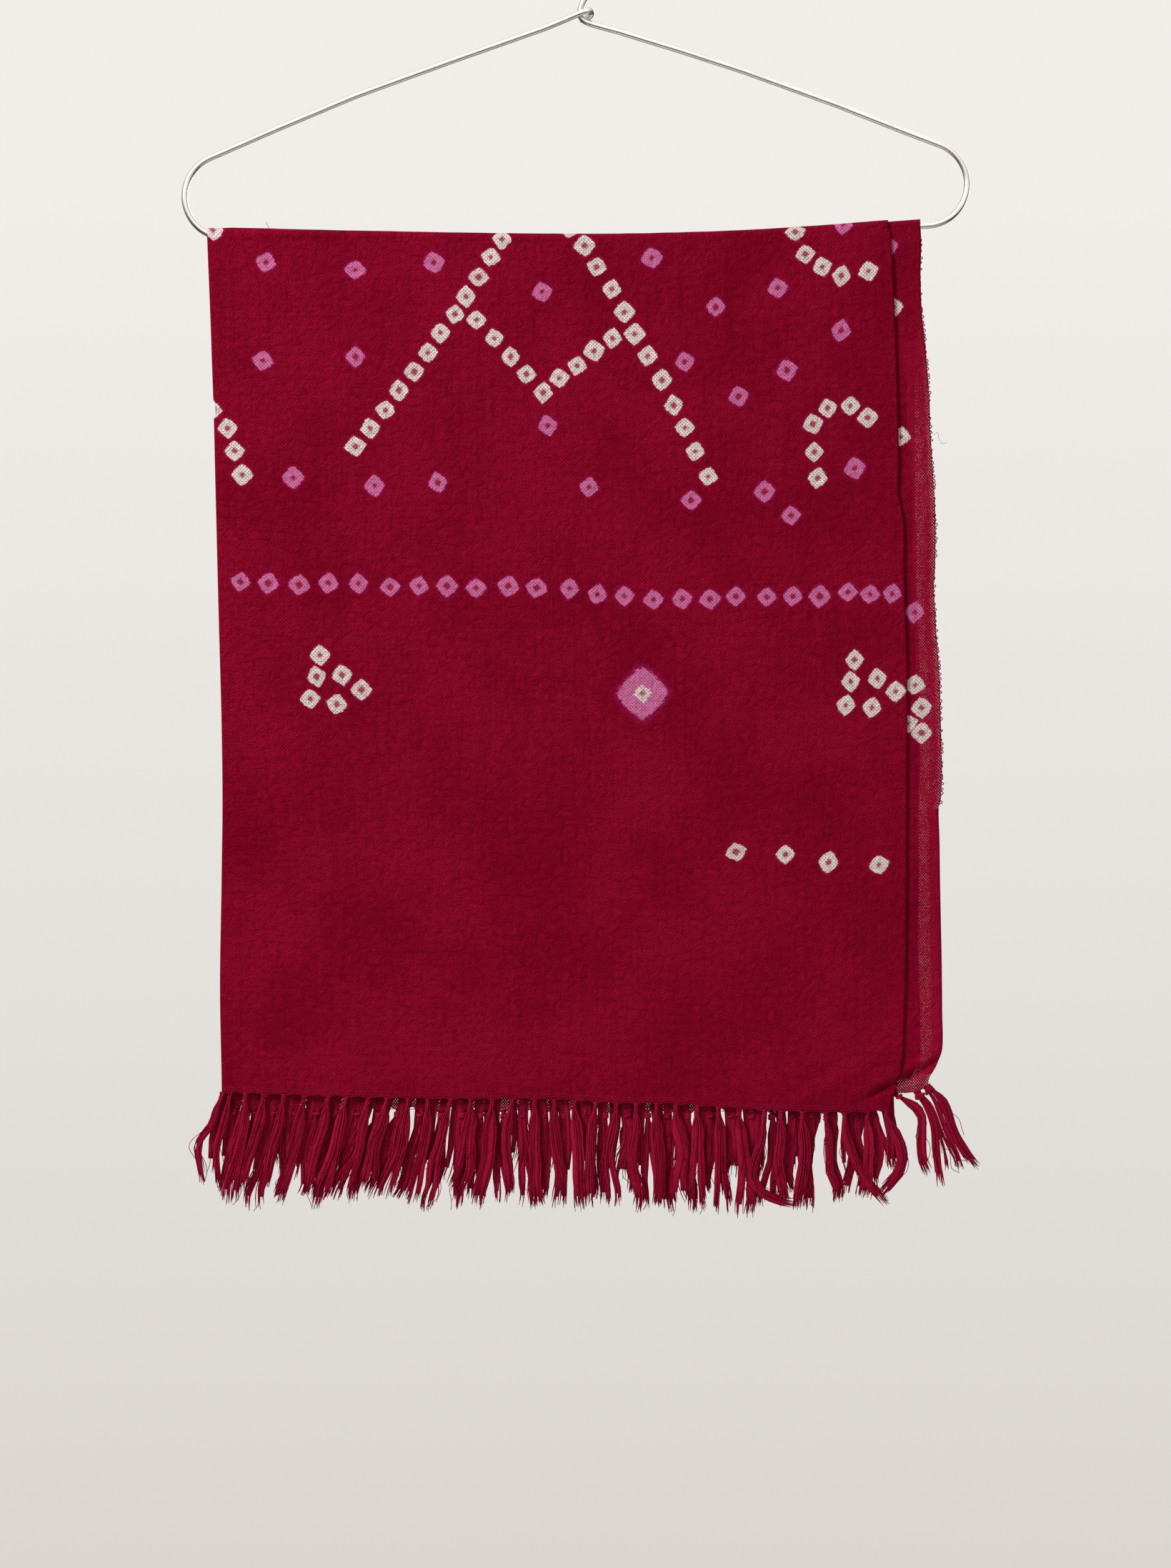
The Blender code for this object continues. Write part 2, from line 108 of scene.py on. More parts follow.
lens = bpy.data.cameras.new("photo_camera")
lens.sensor_fit = "VERTICAL"
lens.sensor_height = SENSOR_HEIGHT
lens.lens = SENSOR_HEIGHT * CAMERA_DISTANCE / FIELD_HEIGHT
lens.clip_end = 20.0
camera = place_object("photo_camera", lens)
camera.location = (FIELD_MIDDLE[0], -CAMERA_DISTANCE, FIELD_MIDDLE[1])
camera.rotation_euler = (math.radians(90), 0.0, 0.0)
bpy.context.scene.camera = camera
bpy.context.scene.view_settings.view_transform = "Standard"
print("lens", round(lens.lens, 1), "mm")

# %% Sky
SKY_LOW, SKY_HIGH = "#DAD5D0", "#F1EEEA"
MIRRORED_DARK, MIRRORED_LIGHT = 0.08, 1.8
WALL_SHADE, SIDE_SHADE = 0.42, 0.45
SOFT_LIGHT = 0.42

world = bpy.data.worlds.new("pale_studio")
bpy.context.scene.world = world
world.use_nodes = True
sky = world.node_tree
sky.nodes.clear()
direction = add(sky, "ShaderNodeTexCoord").outputs["Generated"]
direction = add(sky, "ShaderNodeSeparateXYZ", {0: direction})
upward = direction.outputs["Z"]
share = add(sky, "ShaderNodeMapRange", {"Value": upward, "From Min": -0.18, "From Max": 0.14})
tint = add(sky, "ShaderNodeMix", {0: share, 6: linear(SKY_LOW), 7: linear(SKY_HIGH)}, data_type="RGBA")
mirrored = add(sky, "ShaderNodeMapRange", {"Value": upward, "From Min": -0.55, "From Max": 0.28,
               "To Min": MIRRORED_DARK, "To Max": MIRRORED_LIGHT})
# a round wire's edges mirror the shaded wall behind it, its upright stretches the room's darker sides
aside = add(sky, "ShaderNodeMath", {0: direction.outputs["X"]}, operation="ABSOLUTE")
for value, start, end, shade in ((direction.outputs["Y"], 0.0, 0.7, WALL_SHADE),
                                 (aside, 0.3, 0.8, SIDE_SHADE)):
    dimmed = add(sky, "ShaderNodeMapRange", {"Value": value, "From Min": start, "From Max": end,
                 "To Min": 1.0, "To Max": shade})
    mirrored = add(sky, "ShaderNodeMath", {0: mirrored, 1: dimmed}, operation="MULTIPLY")
ray = add(sky, "ShaderNodeLightPath")
strength = add(sky, "ShaderNodeMix", {0: ray.outputs["Is Glossy Ray"], 2: SOFT_LIGHT, 3: mirrored})
strength = add(sky, "ShaderNodeMix", {0: ray.outputs["Is Camera Ray"], 2: strength, 3: 1.0})
light = add(sky, "ShaderNodeBackground", {"Color": tint.outputs[2], "Strength": strength})
add(sky, "ShaderNodeOutputWorld", {"Surface": light})
print("sky:", len(sky.nodes), "nodes")

# %% Lamps
Lamp = namedtuple("Lamp", "name place size watts")
LAMPS = (
    Lamp("key_upper_left", (-1.35, -1.15, 0.85), 0.6, 47.0),
    Lamp("fill_right", (1.5, -1.7, -0.5), 1.6, 6.0),
    Lamp("fill_behind", (0.9, 1.9, 0.3), 1.4, 26.0),
)
LAMP_AIM = Vector((0.0, 0.0, -0.40))
for lamp in LAMPS:
    data = bpy.data.lights.new(lamp.name, "AREA")
    data.size = lamp.size
    data.energy = lamp.watts
    made = place_object(lamp.name, data)
    made.location = lamp.place
    made.rotation_euler = (LAMP_AIM - Vector(lamp.place)).to_track_quat("-Z", "Y").to_euler()
print("lamps:", ", ".join(f"{lamp.name} {lamp.watts} W" for lamp in LAMPS))

# %% Floor
FLOOR_Z, FLOOR_R, FLOOR_SIDES = -1.15, 0.85, 96
floor_mesh = bpy.data.meshes.new("pale_floor")
turns = [2 * math.pi * k / FLOOR_SIDES for k in range(FLOOR_SIDES)]
rim = [(FLOOR_R * math.cos(a), FLOOR_R * math.sin(a), FLOOR_Z) for a in turns]
floor_mesh.from_pydata(rim, [], [list(range(FLOOR_SIDES))])
place_object("pale_floor", floor_mesh)
paint, coats, surface_coat = new_material("matt emulsion paint")
mottle = add(coats, "ShaderNodeTexNoise", {"Scale": 30.0, "Detail": 4.0})
paint_tint = add(coats, "ShaderNodeMix", {0: mottle, 6: linear("#DBD7D2"), 7: linear("#E2DFDA")},
                 data_type="RGBA")
set_inputs(coats, surface_coat, {"Roughness": 0.8, "Base Color": paint_tint.outputs[2]})
floor_mesh.materials.append(paint)
print("floor:", 2 * FLOOR_R, "m across")

# %% [markdown]
# ## Curves through a few measured places
# A cloth edge is measured with a ruler at a dozen places and runs smoothly between them. One function
# reads such a table anywhere. It takes whole arrays, so a sheet of thirty thousand points is quick.


# %% Smooth tables
def blend(start, end, at):
    """The value at a share of the way between two."""
    return start + (end - start) * at


def ease(at):
    """0 up to 0 and 1 from 1, with a soft rise between."""
    at = np.clip(at, 0.0, 1.0)
    return at * at * (3 - 2 * at)


def through(rows, at):
    """The value at any place of a table of (place, value), along a smooth curve through its rows."""
    spots, values = np.array(rows).T
    index = np.arange(len(rows))
    low, high = np.maximum(index - 1, 0), np.minimum(index + 1, len(rows) - 1)
    slopes = (values[high] - values[low]) / (spots[high] - spots[low])
    at = np.clip(at, spots[0], spots[-1])
    k = np.clip(np.searchsorted(spots, at, side="right") - 1, 0, len(rows) - 2)
    width = spots[k + 1] - spots[k]
    t = (at - spots[k]) / width
    leave = t * (1 - t) ** 2 * slopes[k] * width
    arrive = t * t * (1 - t) * slopes[k + 1] * width
    return blend(values[k], values[k + 1], ease(t)) + leave - arrive


# %% [markdown]
# ## The wire hanger
# The hanger is one piece of steel wire 3.2 mm thick: hook, stem, two arms, two end bends and the bar,
# with its end turned once round the stem. A curve with a round bevel is the natural way to draw bent
# wire. The route is the CAD's, read in finer steps so that no facet shows on the bends.

# %% Hanger sizes
WIRE_R = 1.6
HOOK_R = 19.6
HOOK_MIDDLE = (0.0, -18.0)
HOOK_ANGLES = (195.0, -15.0)
HOOK_TIP = (-21.6, 0.0, -31.5)
BEND_R = 21.6
LEFT_BEND, RIGHT_BEND = (-187.0, -159.3), (175.8, -152.9)
LEFT_ARM_ANGLE, RIGHT_ARM_ANGLE = 113.0, 70.0
STEM = ((16.9, 0.0, -29.0), (11.6, 0.1, -38.5), (4.6, 0.4, -48.0), (-1.3, 1.1, -57.5),
        (-3.2, 1.7, -62.4), (-2.9, 1.8, -65.9), (-0.2, 1.7, -68.5), (6.0, 1.2, -70.7),
        (17.2, 0.5, -73.9))
RIGHT_ARM = ((50.0, 0.0, -84.1), (81.9, 0.0, -94.5), (130.0, 0.0, -111.9), (165.0, 0.0, -125.7))
BAR = ((-187.0, -180.9), (-130.0, -181.6), (-60.0, -182.3), (0.0, -182.4), (60.0, -181.2),
       (110.0, -178.8), (150.0, -176.1), (175.8, -174.5))
LEFT_ARM = ((-160.0, 0.0, -124.0), (-119.7, 0.0, -107.1), (-70.0, 0.0, -89.0), (-22.5, -0.6, -72.4))
NECK_LOOP = ((-11.1, -1.4, -67.9), (-3.0, -1.9, -64.5), (0.9, -1.5, -63.3), (2.6, 0.7, -63.2),
             (2.4, 3.3, -64.5), (0.0, 5.2, -66.0), (-3.6, 5.5, -66.6))


def bar_z(x):
    """Height of the bar's middle, which starts to rise where the end bends begin."""
    x = np.asarray(x, float)
    height = through(BAR, x)
    for centre, past in ((LEFT_BEND, x < LEFT_BEND[0]), (RIGHT_BEND, x > RIGHT_BEND[0])):
        aside = np.minimum(abs(x - centre[0]), BEND_R / 2)
        height = np.where(past, centre[1] - np.sqrt(BEND_R * BEND_R - aside * aside), height)
    return height


# %% Hanger route
ARC_STEP = 4.0


def arc(centre, start, end, radius=BEND_R):
    """Wire points round a bend, by angles in degrees from +X towards +Z."""
    steps = round(abs(end - start) / ARC_STEP)
    turn = np.radians(np.linspace(start, end, steps + 1))
    return [Vector((centre[0] + radius * math.cos(a), 0.0, centre[1] + radius * math.sin(a))) for a in turn]


def curved(rows, passes=1):
    """Points along a smooth curve through a few given ones, doubled at each pass."""
    points = [Vector(row) for row in rows]
    for _ in range(passes):
        along = []
        for k in range(len(points) - 1):
            before, after = points[max(k - 1, 0)], points[min(k + 2, len(points) - 1)]
            along += [points[k], (points[k] + points[k + 1]) * 9 / 16 - (before + after) / 16]
        points = along + [points[-1]]
    return points


right_end = arc(RIGHT_BEND, RIGHT_ARM_ANGLE, -90)
left_end = arc(LEFT_BEND, 270, LEFT_ARM_ANGLE)
bar_points = [Vector((x, 0.0, float(bar_z(x)))) for x in np.linspace(RIGHT_BEND[0], LEFT_BEND[0], 40)[1:-1]]
route = [Vector(HOOK_TIP)] + arc(HOOK_MIDDLE, *HOOK_ANGLES, HOOK_R) + curved(STEM, 2)
route += [Vector(row) for row in RIGHT_ARM] + right_end + bar_points + left_end
route += [Vector(row) for row in LEFT_ARM] + curved(NECK_LOOP, 2)
wire_length = sum((b - a).length for a, b in zip(route, route[1:]))
print("wire:", round(wire_length), "mm in", len(route), "points")

# %% Bent wire
BEVEL_STEPS = 6
curve = bpy.data.curves.new("bent_wire", "CURVE")
curve.dimensions = "3D"
curve.bevel_depth = WIRE_R * MM
curve.bevel_resolution = BEVEL_STEPS
curve.use_fill_caps = True
spline = curve.splines.new("POLY")
spline.points.add(len(route) - 1)
for point, spot in zip(spline.points, route):
    point.co = (*(spot * MM), 1.0)
spline.use_smooth = True
drawn = place_object("wire_route", curve)
wire_mesh = bpy.data.meshes.new_from_object(drawn.evaluated_get(bpy.context.evaluated_depsgraph_get()))
bpy.data.objects.remove(drawn, do_unlink=True)
bent_wire = place_object("bent_wire", wire_mesh)
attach(bent_wire, "root")
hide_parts("hanger_wire")
print("bent wire:", len(wire_mesh.polygons), "faces")


# %% [markdown]
# ### Bright drawn steel wire
# Hanger wire is pulled cold through a die, which leaves it bright with fine lines along its length,
# and handling dulls it in patches. It is a metal, so it keeps the default IOR. The base colour is that
# of bright steel, and noise stretched along the wire changes the roughness from line to line.

# %% Drawn steel
def bright_drawn_steel():
    made, tree, shader = new_material("bright drawn steel wire")
    place = add(tree, "ShaderNodeTexCoord").outputs["Object"]
    # draw lines are a few hundredths of a millimetre wide; they are drawn at 0.4 mm to show
    stretched = add(tree, "ShaderNodeMapping", {"Vector": place, "Scale": (60.0, 2500.0, 2500.0)})
    lines = add(tree, "ShaderNodeTexNoise", {"Vector": stretched, "Scale": 1.0, "Detail": 3.0})
    patches = add(tree, "ShaderNodeTexNoise", {"Vector": place, "Scale": 90.0, "Detail": 5.0})
    wear = add(tree, "ShaderNodeMapRange", {"Value": patches, "From Min": 0.35, "From Max": 0.7,
               "To Min": 0.16, "To Max": 0.36})
    rough = add(tree, "ShaderNodeMath", {0: lines, 1: 0.06, 2: wear}, operation="MULTIPLY_ADD")
    tone = add(tree, "ShaderNodeMix", {0: patches, 6: linear("#ECE9E6"), 7: linear("#CCC8C4")},
               data_type="RGBA")
    bump = add(tree, "ShaderNodeBump", {"Height": lines, "Strength": 0.10, "Distance": 0.2 * MM})
    set_inputs(tree, shader, {"Metallic": 1.0, "Base Color": tone.outputs[2], "Roughness": rough,
                              "Normal": bump})
    return made


wire_mesh.materials.clear()
wire_mesh.materials.append(bright_drawn_steel())
print("wire finish:", wire_mesh.materials[0].name)

# %% [markdown]
# ## Where the folded cloth lies
# The stole is folded across its width and along its length, so four layers hang in front of the bar
# and four behind. Its edges were measured by how far they hang below the bar, its hems by how far
# across they are. Heights are measured outwards from the middle of the stack.

# %% Edges and hems in mm
LEFT_EDGE = ((0, -196.8), (43, -195.0), (82, -193.6), (86, -193.3), (90, -191.4), (94, -193.1),
             (98, -193.1), (173, -191.3), (203, -190.5), (251, -189.2), (293, -188.7), (336, -189.2),
             (388, -190.0), (438, -189.1))
OUTER_EDGE = ((0, 156.3), (4, 157.5), (25, 158.7), (49, 159.8), (72, 160.5), (97, 161.3), (125, 161.8),
              (137, 161.4), (153, 164.2), (182, 164.6), (235, 166.1), (312, 165.7), (389, 165.3),
              (417, 164.2), (432, 163.5), (443, 161.4), (450, 159.0), (457, 156.6))
UNDER_EDGE = ((0, 173.0), (9, 173.5), (26, 173.1), (46, 173.9), (59, 175.3), (73, 176.5), (91, 177.8),
              (104, 178.1), (126, 179.4), (144, 180.5), (161, 180.9), (182, 180.5), (187, 180.0),
              (212, 181.3), (232, 182.8), (255, 183.5), (285, 184.2), (300, 183.5), (303, 182.4),
              (320, 182.8), (341, 183.1), (362, 183.5), (381, 183.9), (409, 184.2), (429, 184.2),
              (436, 181.3), (442, 177.6), (446, 177.0))
BACK_LEFT = ((0, -196.8), (110, -192.0), (220, -189.4), (330, -188.3), (440, -188.4))
BACK_OUTER = ((0, 156.3), (110, 158.9), (220, 161.2), (330, 160.6), (440, 158.8))
BACK_UNDER = ((0, 173.0), (60, 171.2), (110, 170.6), (220, 171.0), (330, 171.4), (440, 171.0))
OUTER_HEM = ((-190, -623.9), (-98, -626.9), (-15, -627.6), (11, -629.3), (43, -629.8), (88, -632.8),
             (131, -634.3), (156, -633.6))
UNDER_HEM = ((-190, -631.8), (-98, -632.8), (-15, -633.4), (43, -633.6), (88, -633.8), (131, -632.0),
             (150, -628.5), (159, -624.8), (171, -623.6), (175, -621.6), (178, -619.4))
INNER_HEM = ((-190, -613.0), (-98, -612.4), (-15, -611.6), (43, -610.8), (88, -610.0), (131, -609.0),
             (159, -608.5), (178, -608.2))

# %% Heights of the layers in mm
# the cloth springs a little off the bar towards both ends
TOP_LIFT = ((-197, -0.2), (-190, 1.5), (-184, 2.0), (-150, 1.6), (-66, 0.8), (40, 0.2), (120, 0.4),
            (174, 1.0))
WOOL, OPEN_WOOL, THIN_WOOL = 0.4, 0.3, 0.25
Layer = namedtuple("Layer", "over flat")
OUTER = Layer(3.45, 3.8)
UNDER = Layer(2.55, 2.5)
# how far below the bar a layer has reached its full height
OVER_FADE = 25.0
# the width fold's roll, and how far the cloth goes back inside it
ROLL_R, ROLL_RETURN = 1.15, 2.0
LENGTH_FOLD_R = 1.9
# below the inner layers the under layer falls back into their place, by this much
FOOT_BACK = 1.5
# air between two layers
GAP = 0.3

# %% [markdown]
# ## Creases
# Fine wool that has lain folded keeps soft troughs and ridges. They could be simulated, but a pressed
# and hung cloth carries the marks of its past folds, which gravity alone wouldn't make. So each one is
# listed: where its middle is, which way it runs, how long, how wide and how deep.
# The back has creases of its own. A fine crepe-like crinkle, from noise, lies over all of it.

# %% Creases, listed one by one
Crease = namedtuple("Crease", "x drop angle half_length half_width height bend")
# rows of Crease, in millimetres and degrees; a negative height is a trough
FRONT_CREASES = (
    (-150, 300, 88, 170, 34, 0.9, 0.0), (-66, 210, 96, 130, 52, 0.8, 0.0), (-30, 420, 80, 70, 46, 0.9, 0.0),
    (38, 330, 86, 120, 38, 0.6, 0.0), (96, 180, 93, 110, 44, 0.7, 0.0), (128, 405, 72, 56, 36, 0.8, 0.0),
    (-62, 92, -38, 16, 3.0, 0.28, 1.5), (-52, 84, -42, 20, 3.4, -0.30, 1.0),
    (-43, 74, -35, 15, 2.8, 0.26, -1.0), (-70, 108, -30, 18, 3.2, -0.22, 2.0),
    (52, 178, 62, 34, 5.0, -0.42, 4.0), (63, 182, 66, 30, 4.4, 0.34, 3.0),
    (74, 196, 58, 26, 5.0, -0.30, -3.0), (36, 205, 50, 24, 4.6, 0.26, 3.0),
    (-16, 214, -28, 22, 4.6, -0.34, 3.0), (-4, 226, -34, 26, 4.2, 0.28, -2.0),
    (10, 207, -22, 18, 4.0, -0.26, 2.0), (-27, 236, 12, 18, 3.8, -0.24, 2.0),
    (-128, 258, 16, 24, 4.8, -0.34, 3.0), (-118, 268, 22, 20, 4.0, 0.26, -2.0),
    (-140, 249, -14, 16, 3.8, -0.22, 2.0), (-160, 150, 80, 36, 6.0, -0.26, 4.0),
    (-104, 372, 4, 40, 2.8, -0.26, 3.0), (-92, 381, -3, 46, 2.6, 0.24, -3.0),
    (-70, 389, 5, 34, 2.8, -0.28, 2.0), (-126, 396, -6, 30, 2.4, 0.22, 2.0),
    (-88, 403, 2, 38, 3.0, -0.24, -2.0), (40, 376, 87, 40, 3.6, -0.36, 2.0),
    (47, 372, 88, 34, 3.6, 0.24, 2.0), (112, 446, 34, 22, 2.6, 0.60, 3.0),
    (118, 440, 38, 24, 2.4, -0.75, 2.0), (126, 443, 36, 20, 2.4, 0.62, -2.0),
    (134, 430, 30, 26, 2.6, -0.70, 3.0), (141, 438, 40, 18, 2.4, 0.60, 1.0),
    (96, 450, 22, 18, 2.8, -0.34, 2.0), (82, 440, 14, 24, 3.2, 0.28, -2.0),
    (66, 447, 8, 22, 2.6, -0.26, 2.0), (-20, 437, 2, 60, 4.0, 0.30, -3.0),
    (-120, 434, -2, 54, 3.6, 0.26, 2.0), (30, 444, 4, 40, 3.0, -0.24, 2.0),
    (120, 300, -48, 26, 4.6, -0.26, 3.0), (134, 268, 40, 22, 4.2, 0.24, 2.0),
    (-36, 300, -70, 30, 5.0, -0.24, -4.0), (-96, 326, 60, 24, 4.4, 0.22, 3.0),
    (18, 110, 74, 26, 4.6, -0.22, 3.0), (118, 60, -66, 24, 4.6, 0.22, 3.0),
    (-140, 40, 70, 22, 4.4, -0.20, 2.0), (-8, 50, -58, 18, 4.0, 0.20, 2.0),
)
BACK_CREASES = (
    (-140, 220, 92, 150, 46, 0.9, 0.0), (-52, 350, 84, 110, 50, 1.1, 0.0), (22, 190, 88, 120, 40, 0.8, 0.0),
    (92, 310, 94, 140, 44, 1.0, 0.0), (146, 400, 86, 70, 26, 0.8, 0.0),
    (-110, 96, -40, 30, 4.2, -0.36, 3.0), (-98, 104, -34, 24, 3.6, 0.30, -2.0),
    (60, 74, 58, 26, 4.6, -0.34, 3.0), (72, 82, 64, 22, 4.0, 0.28, 2.0),
    (-20, 150, -18, 34, 4.4, -0.30, 4.0), (4, 162, -26, 26, 3.8, 0.26, -3.0),
    (120, 190, 46, 28, 4.6, -0.34, 3.0), (-150, 300, 68, 36, 4.8, -0.32, 4.0),
    (-70, 262, 24, 30, 4.2, 0.28, 3.0), (36, 268, -52, 32, 4.6, -0.34, -4.0),
    (48, 276, -46, 24, 3.8, 0.26, 2.0), (-30, 380, 8, 44, 3.2, -0.28, 3.0),
    (-44, 390, 3, 38, 2.8, 0.26, -2.0), (82, 396, -12, 36, 3.4, -0.30, 3.0),
    (134, 350, 78, 30, 4.4, 0.26, 2.0), (-110, 412, 20, 26, 3.4, -0.32, 2.0),
    (-130, 402, 28, 22, 3.0, 0.28, 2.0), (10, 60, -72, 20, 4.2, -0.24, 2.0),
    (146, 120, 62, 22, 4.0, 0.24, 2.0),
)
# the lower corner at the right is drawn up by one sharp fold that runs through both layers
CORNER_FOLD = (
    (168, 440.2, 25, 19, 1.5, -2.4, 0.8), (166, 436.8, 25, 19, 2.2, 1.1, 1.0),
    (170, 443.3, 25, 15, 1.8, 0.5, 0.8), (151, 447.6, 33, 8, 1.4, -1.5, 0.5),
    (148, 444.6, 33, 10, 2.2, 0.8, 1.0), (152, 452.0, 62, 5, 4.0, 0.9, 0.0),
)


def push(creases, x, drop):
    """How far a list of creases pushes the cloth outwards, in millimetres."""
    out = np.zeros(np.broadcast(x, drop).shape)
    for crease in map(Crease._make, creases):
        lean = math.radians(crease.angle)
        right, up = x - crease.x, crease.drop - drop
        along = (right * math.cos(lean) + up * math.sin(lean)) / crease.half_length
        aside = up * math.cos(lean) - right * math.sin(lean) - crease.bend * along * along
        out = out + crease.height * np.exp(-along ** 2 - (aside / crease.half_width) ** 2)
    return out


# %% Crinkle
# how wide and how high the waves of each noise are, and how far they stand out
CRINKLES = ((9.0, 13.0, 0.16), (34.0, 22.0, 0.22), (6.5, 6.0, 0.10))
# down to here the bar pulls the cloth flatter
RELIEF_FADE = 30.0
OVER_STRETCH = 8.0


def crinkle(x, drop, layer_seed):
    """Crepe-like unevenness in millimetres, from noise that is wider than high and noise that is higher."""
    out = np.zeros(x.shape)
    for index, (wide, high, height) in enumerate(CRINKLES):
        spots = zip((x / wide).ravel(), (drop / high).ravel())
        values = [noise.noise(Vector((u, v, layer_seed + 7.3 * index))) for u, v in spots]
        out += height * np.array(values).reshape(x.shape)
    return out


def relief(part, x, drop):
    """Everything that lifts the hanging cloth off its flat form. Both layers of a side share it."""
    if part == "over":
        return 0.5 * crinkle(x, drop, 2.0) + through(TOP_LIFT, x) * np.sin(drop / OVER_STRETCH)
    if part == "front":
        out = push(FRONT_CREASES, x, drop) + push(CORNER_FOLD, x, drop) + crinkle(x, drop, 0.0)
    else:
        out = push(BACK_CREASES, x, drop) + crinkle(x, drop, 40.0)
    return out * blend(0.3, 1.0, ease(drop / RELIEF_FADE))


print("creases:", len(FRONT_CREASES), "in front,", len(BACK_CREASES), "behind")

# %% [markdown]
# ## Hanging a layer
# One layer is a grid of points. Its rows run up the front, over the bar and down the back, and its
# columns run from the selvedge at the right to the fold at the left. A bent plane would do for a flat
# cloth, but only a grid made by rule can follow measured edges and hems at once. Every point also keeps
# where it lies on the flat cloth, in millimetres, so that weave and dots follow the cloth round folds.


# %% Place a grid of points
def surface(part, x, drop, height, turn=0.0):
    """Points of a layer at a height above the middle of the stack, as an array of millimetres."""
    if part == "over":
        radius = height + relief(part, x, OVER_STRETCH * turn)
        return np.stack([x, -radius * np.cos(turn), bar_z(x) + radius * np.sin(turn)], -1)
    out = height + relief(part, x, drop)
    if part == "front":
        return np.stack([x, -out, bar_z(x) - drop], -1)
    if part == "back":
        return np.stack([x, out, bar_z(x) - drop], -1)
    radius = height - LENGTH_FOLD_R
    middle = out - height + LENGTH_FOLD_R
    return np.stack([x, middle + radius * np.cos(turn), bar_z(x) - drop - radius * np.sin(turn)], -1)


def spread(rows, columns, edges, hem, bottom=0.0):
    """The x and the drop of a part's grid. rows are shares of the way down, columns of the way left."""
    left, right = edges
    rows = np.asarray(rows)[:, None]
    x = blend(right[0][1], left[0][1], np.asarray(columns)[None, :]) + 0 * rows
    for _ in range(3):
        drop = rows * (bar_z(x) - through(hem, x) - bottom)
        x = blend(through(right, drop), through(left, drop), np.asarray(columns)[None, :])
    return x, drop


# %% Make a cloth object
def cloth_object(name, points, flat, finish, thickness=WOOL):
    """A grid of points in mm becomes a sheet with its place on the flat cloth kept as an attribute."""
    rows, columns = points.shape[:2]
    first = np.arange(rows - 1)[:, None] * columns + np.arange(columns - 1)[None, :]
    corners = np.stack([first, first + columns, first + columns + 1, first + 1], -1).reshape(-1, 4)
    data = bpy.data.meshes.new(name)
    data.from_pydata((points.reshape(-1, 3) * MM).tolist(), [], corners.tolist())
    data.shade_smooth()
    keep = data.attributes.new("cloth_mm", "FLOAT_VECTOR", "POINT")
    keep.data.foreach_set("vector", np.dstack([flat, np.zeros(flat.shape[:2])]).ravel())
    data.materials.append(finish)
    made = place_object(name, data)
    solid = made.modifiers.new("cloth_thickness", "SOLIDIFY")
    solid.thickness = thickness * MM
    solid.offset = -1.0
    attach(made, "root")
    return made, corners


# %% [markdown]
# ## The tied dots
# Each dot is a pinch of cloth bound with thread before dyeing. The dye can't reach under the binding,
# so a diamond stays white, or pale pink where it was tied after the first bath. A speck of dye gets in
# at the tip of the pinch, and a magenta rim shows where it crept under the thread. The dots are drawn
# in the material, because paint in a mesh would need a vertex every tenth of a millimetre.
# What the mesh keeps is where the nearest dots are, as their own small coordinates on every face.
# Rows, arcs and clusters are laid out by rule, with the unevenness of work done by hand.

# %% Lay out the dots
WHITE, PINK, LARGE = 1, 2, 3
HALF_DIAGONAL = {WHITE: 5.2, PINK: 5.3, LARGE: 13.3}
DOT_SEED = 7
Dot = namedtuple("Dot", "x s kind tilt wide high seed")
rng = random.Random(DOT_SEED)
front_dots, back_dots, under_dots = [], [], []


def tie(dots, x, drop, kind=WHITE, loose=0.8):
    """Tie one dot at a place across and below the bar, a little off, as a hand does it."""
    tilt = math.radians(rng.uniform(-15, 15))
    wide, high = rng.uniform(0.92, 1.10), rng.uniform(0.94, 1.12)
    x, drop = x + rng.uniform(-loose, loose), drop + rng.uniform(-loose, loose)
    dots.append(Dot(x, -drop, kind, tilt, wide, high, rng.random()))


def tie_row(dots, start, end, count, kind=WHITE, sag=0.0, loose=0.8, bow=0.0):
    """Tie a row of dots between two places, with a sag and a sideways bow in the middle."""
    for at in np.linspace(0.0, 1.0, count):
        middle = math.sin(math.pi * at)
        x, drop = blend(start[0], end[0], at) + bow * middle, blend(start[1], end[1], at) + sag * middle
        tie(dots, x, drop, kind, loose)


def tie_arc(dots, centre, radius, start, end, count, kind=WHITE):
    """Tie dots round part of a circle, by angles in degrees from the right, upwards."""
    for angle in np.radians(np.linspace(start, end, count)):
        tie(dots, centre[0] + radius * math.cos(angle), centre[1] - radius * math.sin(angle), kind, 0.5)


def tie_cluster(dots, x, drop):
    """Six dots in two leaning files of three, by their places from the middle of the first file."""
    for right, down in ((-0.5, -11.5), (-2.0, 0.0), (11.0, -1.0), (21.0, 6.0), (-4.5, 11.5), (8.5, 13.5)):
        tie(dots, x + right, drop + down, WHITE, 0.6)


tie_row(front_dots, (-43.4, -0.5), (-120.0, 108.0), 12, loose=0.5, bow=3.0)
tie_row(front_dots, (-0.7, 3.0), (38.6, 73.0), 7, loose=0.9)
tie_row(front_dots, (44.8, 86.0), (62.6, 123.6), 4, loose=0.5)
tie(front_dots, -9.0, -6.3, loose=0.0)
tie_row(front_dots, (-56.7, 41.6), (-23.0, 78.6), 5, loose=0.5)
tie_row(front_dots, (-14.1, 71.6), (13.0, 50.7), 4, loose=0.5)
tie_row(front_dots, (108.0, -1.0), (113.1, 11.2), 2, loose=0.2)
tie_row(front_dots, (121.8, 18.1), (145.9, 22.4), 3, sag=3.6, loose=0.3, bow=-2.1)
tie_arc(front_dots, (131.4, 107.3), 16.6, 151.6, 34, 4)
tie_row(front_dots, (118.0, 114.1), (119.6, 127.6), 2, loose=0.2)
tie(front_dots, -194.2, 90.3, loose=0.2)
